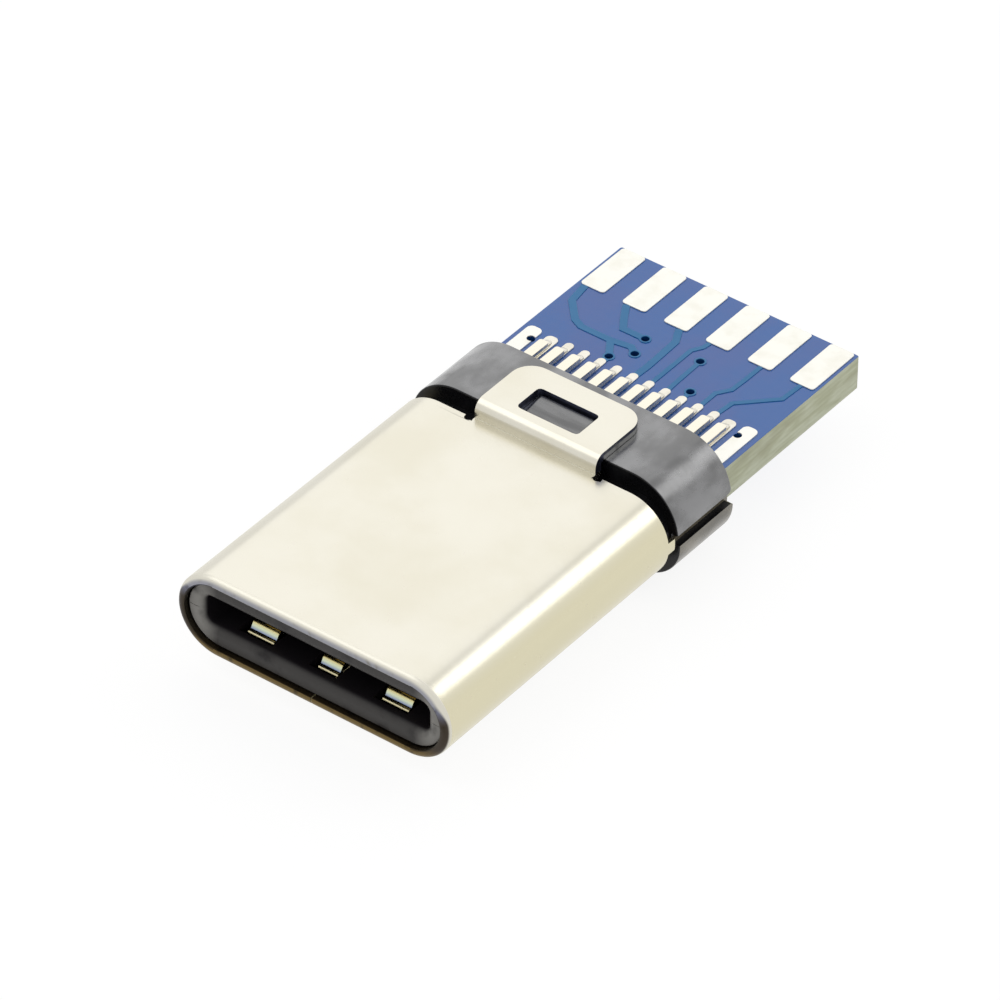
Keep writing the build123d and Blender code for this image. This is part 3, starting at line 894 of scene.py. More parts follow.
    def round_edges(self, radius: float, test: Test, steps: int) -> None:
        """Round the edges that pass a test.

        Args:
            radius: The radius of the rounding.
            test: A test of an edge's middle and of the edge itself.
            steps: How many faces it has.
        """
        self.pick(Pick.EDGES, test)
        bpy.ops.mesh.bevel(offset=radius, segments=steps, profile=0.5, affect="EDGES")
        self.merge()

    def round_corners(self, radius: float, test: Test, steps: int) -> None:
        """Round the corners of flat faces at the vertices that pass a test.

        Args:
            radius: The radius of the rounding.
            test: A test of a vertex's place and of the vertex itself.
            steps: How many edges it has.
        """
        self.pick(Pick.VERTS, test)
        bpy.ops.mesh.bevel(offset=radius, segments=steps, profile=0.5, affect="VERTICES")

    def extrude_edges(self, shift: Sequence[float]) -> None:
        """Extrude the selected edges."""
        bpy.ops.mesh.extrude_edges_move(TRANSFORM_OT_translate={"value": shift})

    def draw_along(self, route: Sequence[Span], radii: Sequence[float], steps: int) -> None:
        """Draw the selected edges along a route of straight runs, with a bend at each inner point.

        Args:
            route: The route's points as (y, z), from where the edges are.
            radii: The radius of the bend at each inner point.
            steps: How many faces each bend has.
        """
        points = [Vector((0.0, y, z)) for y, z in route]
        start = points[0]
        for before, corner, after, radius in zip(points, points[1:], points[2:], radii):
            arriving, leaving = (corner - before).normalized(), (after - corner).normalized()
            turn = arriving.angle(leaving)
            inset = radius * math.tan(turn / 2)
            bend_start = corner - inset * arriving
            self.extrude_edges(bend_start - start)
            hinge = arriving.cross(leaving).normalized()
            centre = bend_start + radius * hinge.cross(arriving)
            bpy.ops.mesh.spin(steps=steps, angle=-turn, center=centre, axis=hinge)
            start = corner + inset * leaving
        self.extrude_edges(points[-1] - start)

    def merge(self) -> None:
        """Merge the vertices that lie on each other."""
        bpy.ops.mesh.select_all(action="SELECT")
        bpy.ops.mesh.remove_doubles(threshold=MERGE_WITHIN)

    def face_outwards(self) -> None:
        """Merge the piece, and turn its faces outwards."""
        self.edit()
        self.merge()
        bpy.ops.mesh.normals_make_consistent(inside=False)
        leave_edit_mode()

    def modify(self, kind: str, **settings: Any) -> None:
        """Add a modifier and apply it.

        Args:
            kind: The modifier's type.
            settings: The modifier's properties.
        """
        leave_edit_mode()
        make_active(self.thing)
        modifier = self.thing.modifiers.new(kind.title(), kind)
        for name, value in settings.items():
            setattr(modifier, name, value)
        bpy.ops.object.modifier_apply(modifier=modifier.name)

    def combine(self, operation: str, *tools: "Workpiece") -> None:
        """Cut the piece with others, or weld them on, and put them away.

        Args:
            operation: DIFFERENCE, UNION or INTERSECT.
            tools: The other pieces.
        """
        for tool in tools:
            leave_edit_mode()
            self.modify("BOOLEAN", operation=operation, solver="EXACT", object=tool.thing)
            tool.discard()

    def soften(self, width: float, steps: int = 2, held: bool = True) -> None:
        """Round every edge that turns by more than SHARP_TURN a little.

        Args:
            width: The rounding's width.
            steps: How many faces it has.
            held: Whether short edges hold the width back, which tight bends do not need.
        """
        limits = {"limit_method": "ANGLE", "angle_limit": math.radians(SHARP_TURN)}
        self.modify("BEVEL", width=width, segments=steps, use_clamp_overlap=held, **limits)

    def copy(self, name: str, shift: float = 0.0, turned_over: bool = False) -> "Workpiece":
        """Copy the piece with a mesh of its own.

        Args:
            name: The copy's name.
            shift: How far the copy is moved across the plug.
            turned_over: Whether it is turned over about the Y axis first.

        Returns:
            The copy, in object mode.
        """
        leave_edit_mode()
        make_active(self.thing)
        bpy.ops.object.duplicate(linked=False)
        twin = Workpiece(bpy.context.object, name)
        twin.edit()
        bpy.ops.mesh.select_all(action="SELECT")
        if turned_over:
            bpy.ops.transform.rotate(
                value=math.pi, orient_axis="Y", center_override=(0.0, 0.0, 0.0))
        bpy.ops.transform.translate(value=(shift, 0.0, 0.0))
        leave_edit_mode()
        return twin

    def discard(self) -> None:
        """Put the piece away, once it has been used or copied."""
        bpy.data.objects.remove(self.thing)

    def gather(self, *others: "Workpiece") -> None:
        """Take other pieces into this one's mesh."""
        leave_edit_mode()
        make_active(self.thing)
        for other in others:
            other.thing.select_set(True)
        bpy.ops.object.join()

    def finish(self, coat: Finish, *nodes: str, smooth_under: float = 35.0) -> bpy.types.Object:
        """Bring the piece into the frame, dress it and set it on its body.

        Args:
            coat: The finish of the whole piece.
            nodes: The CAD nodes that the piece stands for.
            smooth_under: The turn between two faces, in degrees, up to which they shade as one.

        Returns:
            The finished piece.
        """
        leave_edit_mode()
        make_active(self.thing)
        bpy.ops.object.shade_smooth_by_angle(angle=math.radians(smooth_under))
        self.modify("WEIGHTED_NORMAL", keep_sharp=True, weight=50)
        self.thing.scale = (MM, MM, MM)
        bpy.ops.object.transform_apply(location=False, rotation=False, scale=True)
        self.thing.data.materials.clear()
        self.thing.data.materials.append(coat.material())
        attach(self.thing, BODY)
        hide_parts(*nodes)
        log.info("%s: %d faces", self.thing.name, len(self.thing.data.polygons))
        return self.thing


def leave_edit_mode() -> None:
    """Go back to object mode with nothing selected."""
    if bpy.context.object and bpy.context.object.mode != "OBJECT":
        bpy.ops.object.mode_set(mode="OBJECT")
    bpy.ops.object.select_all(action="DESELECT")


def make_active(thing: bpy.types.Object) -> None:
    """Select one object and nothing else."""
    bpy.ops.object.select_all(action="DESELECT")
    thing.select_set(True)
    bpy.context.view_layer.objects.active = thing


def dress_faces(thing: bpy.types.Object, coat: Finish, test: Test) -> None:
    """Give the faces that pass a test another finish.

    Args:
        thing: The finished piece.
        coat: The other finish.
        test: A test of a face's middle, in millimetres, and of the face itself.
    """
    thing.data.materials.append(coat.material())
    number = len(thing.data.materials) - 1
    for face in thing.data.polygons:
        if test(face.center / MM, face):
            face.material_index = number


@dataclass
class RolledShell:
    """The nickel shell: one sheet rolled to a stadium, with two stepped and windowed catch tabs."""

    width: float = 8.25
    height: float = 2.40
    length: float = 8.85
    wall: float = 0.25
    rim_round: float = 0.17
    rim_inner_round: float = 0.04
    bore_depth: float = 0.30
    edge: float = 0.010
    notch_width: float = 0.24
    notch_depth: float = 0.16
    notch_round: float = 0.11
    tab_width: float = 3.70
    tab_rear: float = 11.0
    tab_corner: float = 0.60
    tab_top: float = 1.70
    tab_bend: float = 0.325
    root_bend: float = 0.012
    tab_root: float = 8.82
    riser_y: float = 8.875
    window_front: float = 9.35
    window_rear: float = 10.30
    window_width: float = 1.86
    window_corner: float = 0.12
    lug_height: float = 0.34
    lug_length: float = 0.26
    lug_from: float = 4.0
    seam_gap: float = 0.03
    seam_lap: float = 0.02
    raised_by: float = 0.03
    steep: float = 0.7
    crease_reach: Span = (0.001, 0.002)
    outer_wall: Span = (1.116, 10.40)
    outer_wall_low: float = 1.3

    def build(self) -> None:
        """Roll the sheet, draw the tabs, thicken it, round its edges and plate it."""
        piece = self.roll_half()
        self.cut_rear(piece)
        self.draw_tab(piece)
        piece.modify("MIRROR", use_axis=(False, False, True), merge_threshold=2 * MERGE_WITHIN)
        piece.face_outwards()
        self.slit_seam(piece)
        piece.cut_across(self.bore_depth, Y, anywhere)
        inwards = {"offset": -1.0, "use_even_offset": True, "use_quality_normals": True}
        piece.modify("SOLIDIFY", thickness=self.wall, **inwards)
        self.round_rim(piece)
        piece.soften(self.edge, held=False)
        shell = piece.finish(NICKEL, "shell")
        # painted reflection on the front of the rim
        dress_faces(shell, RIM_PAINTED_REFLECTION, self.on_rim)
        # painted shade on the inner wall behind the rim
        dress_faces(shell, BORE_PAINTED_SHADE, self.in_bore)
        # painted shade on the tabs' cut edges and window walls
        dress_faces(shell, TAB_CUT_PAINTED_SHADE, self.on_tab_edge)
        # painted shadow on the upper tab's outer cut edge
        dress_faces(shell, TAB_SIDE_PAINTED_SHADOW, self.on_tab_wall)
        # painted shade in the crease at the tabs' roots
        dress_faces(shell, CREASE, self.in_crease)

    def roll_half(self) -> Workpiece:
        """Roll the upper half of the sheet, as a surface with no thickness.

        Returns:
            The half, open below.
        """
        top = self.height / 2
        piece = Workpiece.block("plated_shell", self.width, (0.0, self.length), (0.0, top))
        piece.remove_faces(lambda at, face: abs(face.normal.y) > FACING or face.normal.z < -FACING)
        piece.round_edges(top, lambda at, edge: near(at.z, top) and lies_along(edge, Y), steps=20)
        return piece

    def cut_rear(self, piece: Workpiece) -> None:
        """Cut the relief notches and the root of the tab, and draw out the key lugs.

        Args:
            piece: The upper half of the sheet.
        """
        front = self.length - self.notch_depth
        outer, inner = self.tab_width / 2 + self.notch_width, self.tab_width / 2
        lug = self.lug_height / 2
        piece.cut_across(front, Y, anywhere)
        for x in (-outer, -inner, inner, outer):
            piece.cut_across(x, X, lambda at, face: at.y > front and face.normal.z > WHOLLY)
        piece.cut_across(self.tab_root, Y, lambda at, face: at.y > front and abs(at.x) < inner)
        piece.round_corners(self.notch_round, lambda at, vert: near(at.y, front)
                            and inner - SLACK < abs(at.x) < outer + SLACK, steps=3)
        piece.remove_faces(
            lambda at, face: abs(at.x) < inner and at.y > self.tab_root
            or inner < abs(at.x) < outer and at.y > front + self.notch_depth / 4)
        piece.cut_across(lug, Z, lambda at, face: at.y > front and abs(at.x) > self.lug_from)
        piece.pick(Pick.EDGES, lambda at, edge: near(at.y, self.length) and at.z < lug)
        piece.extrude_edges((0.0, self.lug_length, 0.0))

    def draw_tab(self, piece: Workpiece) -> None:
        """Draw the tab up and over the collar, and open its window.

        Args:
            piece: The upper half of the sheet.
        """
        inner, top, root = self.tab_width / 2, self.height / 2, self.tab_root
        half = self.window_width / 2
        piece.pick(Pick.EDGES, lambda at, edge: near(at.y, root) and abs(at.x) < inner
                   and near(at.z, top))
        route = [(root, top), (self.riser_y, top), (self.riser_y, self.tab_top),
                 (self.window_front, self.tab_top)]
        piece.draw_along(route, [self.root_bend, self.tab_bend], steps=10)
        piece.extrude_edges((0.0, self.window_rear - self.window_front, 0.0))
        piece.extrude_edges((0.0, self.tab_rear - self.window_rear, 0.0))
        piece.merge()
        for x in (-half, half):
            piece.cut_across(x, X, self.beside_window)
        piece.round_corners(self.window_corner, lambda at, vert: near(abs(at.x), half)
                            and at.z > top, steps=5)
        piece.remove_faces(lambda at, face: self.beside_window(at, face)
                           and near(at.x, 0.0, OVERCUT))
        piece.round_corners(self.tab_corner, lambda at, vert: near(at.y, self.tab_rear)
                            and near(abs(at.x), inner), steps=10)

    def slit_seam(self, piece: Workpiece) -> None:
        """Open the butt seam along the underside.

        Args:
            piece: The whole sheet.
        """
        half, low = self.seam_gap / 2, -self.height / 2 + self.seam_lap
        for x in (-half, half):
            piece.cut_across(x, X, lambda at, face: at.z < low)
        piece.remove_faces(lambda at, face: at.z < low and abs(at.x) < half)

    def round_rim(self, piece: Workpiece) -> None:
        """Round the mouth's rim, more outside than inside.

        Args:
            piece: The thickened sheet.
        """
        straight = (self.width - self.height) / 2
        outside = self.height / 2 - self.seam_lap
        inside = self.height / 2 - self.wall + self.seam_lap

        def reach(edge: bmesh.types.BMEdge) -> list[float]:
            """Return how far an edge's ends are from the line between the centres of rolling."""
            return [math.hypot(max(abs(end.co.x) - straight, 0.0), end.co.z) for end in edge.verts]

        on_rim = lies_on(Y, 0.0)
        piece.round_edges(self.rim_round, lambda at, edge: on_rim(at, edge)
                          and min(reach(edge)) > outside, steps=6)
        piece.round_edges(self.rim_inner_round, lambda at, edge: on_rim(at, edge)
                          and max(reach(edge)) < inside, steps=2)

    def beside_window(self, at: Vector, face: Any) -> bool:
        """Say whether a face is in the part of the tab that the window opens."""
        return self.window_front < at.y < self.window_rear

    def on_rim(self, at: Vector, face: Any) -> bool:
        """Say whether a face is on the mouth's rim and leans to the front."""
        return face.normal.y < -LEANING and at.y < self.rim_round

    def in_bore(self, at: Vector, face: Any) -> bool:
        """Say whether a face is on the inner wall, behind the rim."""
        return face.normal.x * at.x + face.normal.z * at.z < -FACING and at.y < self.bore_depth

    def on_tab_edge(self, at: Vector, face: Any) -> bool:
        """Say whether a face is on the cut edge of a tab or of its window."""
        raised = at.y > self.riser_y and abs(at.z) > self.height / 2 + self.raised_by
        past_front = at.y > self.window_front - self.seam_lap and abs(face.normal.z) < FACING
        return raised and (abs(face.normal.x) > self.steep or past_front)

    def on_tab_wall(self, at: Vector, face: Any) -> bool:
        """Say whether a face is on the outer cut edge of the upper tab, where the tab is flat."""
        x, y = self.outer_wall
        outer = (abs(at.x) > x or at.y > y) and at.z > self.outer_wall_low
        return outer and at.y > self.riser_y + self.tab_bend and abs(face.normal.z) < FACING

    def in_crease(self, at: Vector, face: Any) -> bool:
        """Say whether a face is on the tight bend at the root of a tab.

        Args:
            at: The face's middle.
            face: The face.

        Returns:
            Whether it is there.
        """
        lift = abs(at.z) - self.height / 2
        under, past = self.crease_reach
        rooted = self.tab_root < at.y < self.riser_y + past and abs(at.x) < self.tab_width / 2
        return rooted and -under < lift < self.root_bend and abs(face.normal.y) > LEANING


@dataclass
class Nose:
    """The black moulding in the mouth, and the two three-fingered ground springs in it."""

    width: float = 7.71
    height: float = 1.86
    front: float = 0.15
    rear: float = 5.90
    face_edge: float = 0.05
    cavity_width: float = 6.76
    cavity_height: float = 0.82
    cavity_corner: float = 0.20
    lead_in: float = 0.22
    slot: Span = (0.45, 2.62)
    slot_play: float = 0.12
    finger_offset: float = 2.05
    outer_finger: float = 0.80
    middle_finger: float = 0.60
    spring_width: float = 5.60
    spring_thickness: float = 0.10
    spring_edge: float = 0.010
    spring_seat: float = 0.88
    spring_base: Span = (2.95, 4.05)
    finger_route: tuple[Span, ...] = (
        (2.95, 0.88), (2.50, 0.88), (0.96, 0.33), (0.80, 0.56), (0.715, 0.565), (0.685, 0.605)
    )
    finger_bends: tuple[float, ...] = (0.25, 0.18, 0.08, 0.08)
    groove_width: float = 0.32
    groove_front: float = 2.62
    groove_depth: float = 0.70
    arm_slot: Span = (1.75, 0.31)
    line_length: float = 0.6
    line_depth: float = 0.02

    @property
    def fingers(self) -> dict[float, float]:
        """Return each finger's place across the plug, and its width."""
        outer = self.outer_finger
        return {-self.finger_offset: outer, 0.0: self.middle_finger, self.finger_offset: outer}

    def build(self) -> None:
        """Mould the housing and stamp the springs."""
        self.build_housing()
        spring = self.make_spring("upper_ground_stamping")
        twin = spring.copy("lower_ground_stamping", turned_over=True)
        # gilt with painted reflections and shade on the fingers
        spring.finish(GILT_AND_PAINTED_LIGHT, "upper_ground_spring")
        twin.finish(GILT_AND_PAINTED_LIGHT, "lower_ground_spring")

    def build_housing(self) -> None:
        """Mould the housing: a stadium with a lead-in, a cavity, and slots for all that flexes."""
        on_face = lies_on(Y, self.front)
        half_x, half_z = self.cavity_width / 2, self.cavity_height / 2
        housing = Workpiece.block(
            "nose_moulding", self.width, (self.front, self.rear), about(self.height))
        housing.round_edges(self.height / 2, runs_along(Y), steps=16)
        housing.round_edges(self.face_edge, on_face, steps=3)
        through = (self.front - BEYOND, self.rear + BEYOND)
        cavity = Workpiece.block("cavity", self.cavity_width, through, about(self.cavity_height))
        cavity.round_edges(self.cavity_corner, runs_along(Y), steps=6)
        housing.combine("DIFFERENCE", cavity)
        housing.round_edges(self.lead_in, lambda at, edge: on_face(at, edge)
                            and abs(at.z) < half_z + SLACK and abs(at.x) < half_x + SLACK, steps=4)
        housing.combine("DIFFERENCE", *self.make_slots())
        housing.finish(NOSE_PLASTIC, "front_housing", smooth_under=MOULDED_TURN)

    def make_slots(self) -> list[Workpiece]:
        """Make the tools that cut the windows of the fingers, the grooves and the arms' slots.

        Returns:
            One tool for each opening.
        """
        reach = self.height / 2 + OVERCUT
        play, up = 2 * self.slot_play, (-reach, reach)
        tools = [Workpiece.block("finger_slot", width + play, self.slot, up, x)
                 for x, width in self.fingers.items()]
        along = (self.groove_front, self.rear + OVERCUT)
        depths = (-self.groove_depth, self.groove_depth)
        groove = Workpiece.block("contact_groove", self.groove_width, along, depths)
        tools += [groove.copy("contact_groove", shift=x) for x in CONTACT_PLACES]
        groove.discard()
        front, height = self.arm_slot
        along = (front, self.rear + OVERCUT)
        tools.append(Workpiece.block("arm_slot", 2 * self.width, along, about(height)))
        along = (self.front - OVERCUT, self.front + self.line_depth)
        length, up = self.line_length, about(self.line_depth)
        tools += [Workpiece.block("parting_line", length, along, up, x)
                  for x in about((self.width + self.cavity_width) / 2)]
        return tools

    def make_spring(self, name: str) -> Workpiece:
        """Stamp the upper spring: a flat base with three curled fingers.

        Args:
            name: The piece's name.

        Returns:
            The spring, not yet finished.
        """
        spring = Workpiece.sheet(name, self.spring_width, self.spring_base, self.spring_seat)
        for x, width in self.fingers.items():
            for side in about(width):
                spring.cut_across(x + side, X, anywhere)
        spring.pick(Pick.EDGES, lambda at, edge: near(at.y, self.spring_base[0])
                    and any(abs(at.x - x) < width / 2 for x, width in self.fingers.items()))
        spring.draw_along(self.finger_route, self.finger_bends, steps=8)
        spring.face_outwards()
        spring.modify("SOLIDIFY", thickness=self.spring_thickness, offset=0.0, use_even_offset=True)
        spring.soften(self.spring_edge, held=False)
        return spring


@dataclass
class CollarHalf:
    """One wafer: the half of the collar that it ends in, and its core inside the shell."""

    side: Side
    width: float
    flat: float
    height: float = 2.88
    front: float = 9.25
    rear: float = 11.50
    seam: float = 0.14
    seam_depth: float = 0.20
    seam_round: float = 0.16
    inner_top: float = 0.72
    edge: float = 0.05
    core: Span = (7.71, 1.86)
    core_front: float = 5.90
    pocket: Span = (7.50, 0.85)
    pocket_front: float = 9.70
    latch_seat: Span = (8.43, 0.125)
    ramp: tuple[float, float, float] = (1.72, 9.42, 10.23)
    ramp_rise: Span = (0.02, 0.11)
    ramp_flat: float = 0.14
    ramp_root: float = 0.2
    ramp_round: float = 0.09
    shaded_lean: float = 0.6

    def build(self) -> None:
        """Mould the half in its upper place, turn it over if it is the lower one, and dress it."""
        wafer = self.mould_skin()
        wafer.combine("UNION", *self.mould_inside(), self.make_ramp())
        wafer.combine("DIFFERENCE", *self.make_pockets())
        wafer.face_outwards()
        piece = wafer.copy(f"{self.side.word}_collar_moulding", turned_over=self.side.turned)
        wafer.discard()
        # the lower half gets a painted reflection of the floor
        coat = LOWER_PAINTED_REFLECTION if self.side.turned else COLLAR_PLASTIC
        half = piece.finish(coat, f"{self.side.word}_wafer", smooth_under=MOULDED_TURN)
        toe = self.height / 2 + self.ramp_rise[0] / 2
        # painted shade on the front, the core and the parting gap
        dress_faces(half, GAP_PAINTED_SHADE, self.in_shade)
        dress_faces(half, RAMP_PLASTIC, lambda at, face: abs(at.z) > toe)

    def mould_skin(self) -> Workpiece:
        """Mould the outer skin of the collar half, which stops at the parting gap.

        Returns:
            The skin.
        """
        top, on_end = self.height / 2, lies_on(Y, self.front, self.rear)
        wafer = Workpiece.block("collar", self.width, (self.front, self.rear), (0.0, top))
        wafer.round_edges((self.height - self.flat) / 2, self.is_long_top, steps=18)
        wafer.round_edges(self.edge, lambda at, edge: on_end(at, edge) and at.z > SLACK, steps=3)
        along, up = (self.front - BEYOND, self.rear), (self.seam, top + BEYOND)
        outline = Workpiece.block("outline", WIDE, along, up)
        outline.round_edges(self.seam_round, lambda at, edge: near(at.y, self.rear)
                            and near(at.z, self.seam), steps=5)
        wafer.combine("INTERSECT", outline)
        return wafer

    def mould_inside(self) -> list[Workpiece]:
        """Mould the inner part of the collar half, and the core in the shell.

        Returns:
            The two parts.
        """
        width = self.width - 2 * self.seam_depth
        inner = Workpiece.block("inner", width, (self.front, self.rear), (0.0, self.inner_top))
        width, height = self.core
        along = (self.core_front, self.front + OVERCUT)
        core = Workpiece.block("core", width, along, (0.0, height / 2))
        core.round_edges(height / 2, self.is_long_top, steps=16)
        return [inner, core]

    def make_ramp(self) -> Workpiece:
        """Make the snap ramp that stands in the window of the tab.

        Returns:
            The ramp.
        """
        width, front, rear = self.ramp
        toe, crest = (self.height / 2 + rise for rise in self.ramp_rise)
        ramp = Workpiece.block("ramp", width, (front, rear), (toe - self.ramp_root, crest))
        ramp.cut_across(rear - self.ramp_flat, Y, anywhere)
        ramp.pick(Pick.VERTS, lambda at, vert: near(at.y, front) and near(at.z, crest))
        bpy.ops.transform.translate(value=(0.0, 0.0, toe - crest))
        ramp.round_edges(self.ramp_round, lambda at, edge: near(abs(at.x), width / 2)
                         and at.z > toe - self.ramp_root / 2 and not lies_along(edge, Z), steps=5)
        return ramp

    def make_pockets(self) -> list[Workpiece]:
        """Make the tools that cut the board's pocket and the latch plate's seat.

        Returns:
            The two tools.
        """
        width, top = self.pocket
        along = (self.pocket_front, self.rear + BEYOND)
        pocket = Workpiece.block("pocket", width, along, (-BEYOND, top))
        rear, top = self.latch_seat
        along = (self.core_front - BEYOND, rear)
        return [pocket, Workpiece.block("seat", WIDE, along, (-BEYOND, top))]

    def is_long_top(self, at: Vector, edge: Any) -> bool:
        """Say whether an edge runs along the plug, above the parting plane."""
        return lies_along(edge, Y) and at.z > OVERCUT

    def in_shade(self, at: Vector, face: Any) -> bool:
        """Say whether a face is on the core, on the collar's front or in the parting gap."""
        on_front = at.y < self.front + self.edge and face.normal.y < -self.shaded_lean
        in_gap = abs(at.z) < self.seam + SLACK and abs(at.x) > self.pocket[0] / 2
        return on_front or at.y < self.front or in_gap


@dataclass
class ContactRows:
    """The twenty-two stamped contacts, and the latch plate between their rows."""

    thickness: float = 0.15
    tail: Span = (9.70, 12.97)
    tail_width: float = 0.28
    beam_width: float = 0.22
    neck: float = 0.05
    level: float = 0.615
    root: float = 5.60
    touch_level: float = 0.36
    tip_level: float = 0.545
    tip_lead: float = 0.40
    bends: Span = (0.80, 0.35)
    tail_corner: float = 0.08
    edge: float = 0.022
    long_touch: float = 3.15
    short_touch: float = 3.55
    long_places: tuple[int, ...] = (1, 4, 9, 12)

    def build(self) -> None:
        """Stamp one long and one short contact, and copy them to their places."""
        long_one, short_one = self.stamp(self.long_touch), self.stamp(self.short_touch)
        for place, x in enumerate(CONTACT_PLACES, start=1):
            pattern = long_one if place in self.long_places else short_one
            for side in filter(lambda side: side.holds(place), Side):
                name = f"{side.word}_strip_{place:02d}"
                strip = pattern.copy(name, shift=x, turned_over=side.turned)
                strip.finish(STRIP, f"{side.word}_contact_{place:02d}")
        long_one.discard()
        short_one.discard()
        latch = Workpiece.from_node("latch_plate", "latch_stamping")
        latch.soften(self.edge)
        latch.finish(LATCH_STEEL, "latch_plate")

    def stamp(self, touch: float) -> Workpiece:
        """Stamp a contact at the middle of the upper row.

        Args:
            touch: How far behind the mouth it touches.

        Returns:
            The contact, not yet finished.
        """
        front, rear = self.tail
        strip = Workpiece.sheet("contact_pattern", self.tail_width, self.tail, self.level)
        strip.round_corners(self.tail_corner, lambda at, vert: near(at.y, rear), steps=4)
        strip.pick(Pick.EDGES, lambda at, edge: near(at.y, front))
        strip.extrude_edges((0.0, -self.neck, 0.0))
        narrow = (self.beam_width / self.tail_width, 1.0, 1.0)
        bpy.ops.transform.resize(value=narrow, center_override=(0.0, front, self.level))
        route = [(front - self.neck, self.level), (self.root, self.level),
                 (touch, self.touch_level), (touch - self.tip_lead, self.tip_level)]
        strip.draw_along(route, self.bends, steps=8)
        strip.face_outwards()
        strip.modify("SOLIDIFY", thickness=self.thickness, offset=0.0, use_even_offset=True)
        strip.soften(self.edge)
        return strip


@dataclass
class PaddleBoard:
    """The blue board with its cut edge, via holes, tinned pads and masked tracks."""

    width: float = 7.40
    front: float = 9.75
    rear: float = 17.47
    thickness: float = 1.00
    corner: float = 0.06
    edge: float = 0.02
    rim: float = 0.08
    upright: float = 0.6
    via_radius: float = 0.11
    vias: tuple[Span, ...] = (
        (-1.23, 13.60), (-0.78, 14.08), (-0.93, 14.73), (0.70, 14.83), (1.23, 13.68),
        (-3.19, 12.97), (3.19, 12.97)
    )
    pad_thickness: float = 0.04
    pad_edge: float = 0.018
    track_steps: int = 3
    wire_pad: tuple[float, float, float] = (0.74, 15.58, 17.43)
    wire_pad_pitch: float = 1.296
    wire_pads: int = 6
    wire_pad_corner: float = 0.10
    bead: tuple[float, float, float] = (0.24, 12.82, 13.20)
    bead_height: float = 0.10

    def build(self) -> None:
        """Rout the board, then tin and mask what is on it."""
        self.build_board()
        self.build_wire_pads()
        for side in Side:
            pads = self.soften_copy(f"{side.word}_contact_pads", f"{side.word}_tinned_contact_pads")
            pads.gather(*self.make_beads(side))
            pads.finish(JOINT_TIN, f"{side.word}_contact_pads")
            shield = self.soften_copy(f"{side.word}_shield_pads", f"{side.word}_tinned_shield_pads")
            shield.finish(TINNED, f"{side.word}_shield_pads")
            tracks = self.soften_copy(
                f"{side.word}_copper_tracks", f"{side.word}_masked_tracks", steps=self.track_steps)
            tracks.finish(TRACK_MASK, f"{side.word}_copper_tracks")

    def soften_copy(self, node: str, name: str, steps: int = 2) -> Workpiece:
        """Copy a CAD node of pads or tracks, and round its edges a little.

        Args:
            node: The CAD node's name.
            name: The piece's name.
            steps: How many faces the rounding has.

        Returns:
            The copy, not yet finished.
        """
        piece = Workpiece.from_node(node, name)
        piece.soften(self.pad_edge, steps)
        return piece

    def build_board(self) -> None:
        """Rout the board to size and drill its vias."""
        half_z, along = self.thickness / 2, (self.front, self.rear)
        board = Workpiece.block("masked_board", self.width, along, (-half_z, half_z))
        board.round_edges(self.corner, runs_along(Z), steps=4)
        board.round_edges(self.edge, lambda at, edge: all(
            near(abs(vert.co.z), half_z) for vert in edge.verts), steps=2)
        places = [(x, y, 0.0) for x, y in self.vias]
        depth = self.thickness + 2 * BEYOND
        drills = [Workpiece.rod("drill", place, self.via_radius, depth) for place in places]
        board.combine("DIFFERENCE", *drills)
        finished = board.finish(BLUE_MASK, "circuit_board")
        dress_faces(finished, BOARD_EDGE, lambda at, face: self.is_cut(face) and self.at_rim(at))
        dress_faces(finished, VIA_WALL, lambda at, face: self.is_cut(face) and not self.at_rim(at))

    def is_cut(self, face: Any) -> bool:
        """Say whether a face stands upright, as the cutter and the drill leave it."""
        return abs(face.normal.z) < self.upright

    def at_rim(self, at: Vector) -> bool:
        """Say whether a place is at the outline of the board."""
        within = self.front + self.rim < at.y < self.rear - self.rim
        return abs(at.x) > self.width / 2 - self.rim or not within

    def build_wire_pads(self) -> None:
        """Plate the six wire pads on each face of the board."""
        width, front, rear = self.wire_pad
        level = self.thickness / 2
        pad = Workpiece.block("pad", width, (front, rear), (level, level + self.pad_thickness))
        pad.round_edges(self.wire_pad_corner, runs_along(Z), steps=4)
        pad.soften(self.pad_edge)
        offset = self.wire_pad_pitch * (self.wire_pads - 1) / 2
        places = [place * self.wire_pad_pitch - offset for place in range(self.wire_pads)]
        for side in Side:
            name = f"{side.word}_tinned_wire_pads"
            first, *rest = [pad.copy(name, shift=x, turned_over=side.turned) for x in places]
            first.gather(*rest)
            first.finish(TINNED, f"{side.word}_wire_pads")
        pad.discard()

    def make_beads(self, side: Side) -> list[Workpiece]:
        """Make the beads of solder that join the tails' ends to their pads.

        Args:
            side: The face of the board.

        Returns:
            One bead for each contact.
        """
        width, front, rear = self.bead
        low = self.thickness / 2 + self.pad_thickness / 2
        high = self.thickness / 2 + self.pad_thickness + self.bead_height
        bead = Workpiece.block("bead", width, (front, rear), (low, high))
        bead.cut_across((front + rear) / 2, Y, anywhere)
        bead.pick(Pick.VERTS, lambda at, vert: near(at.y, rear) and at.z > low)
        bpy.ops.transform.translate(value=(0.0, 0.0, low + self.pad_thickness / 2 - high))
        bead.modify("SUBSURF", levels=2, render_levels=2)
        beads = [bead.copy("bead", shift=x, turned_over=side.turned)
                 for place, x in enumerate(CONTACT_PLACES, start=1) if side.holds(place)]
        bead.discard()
        return beads


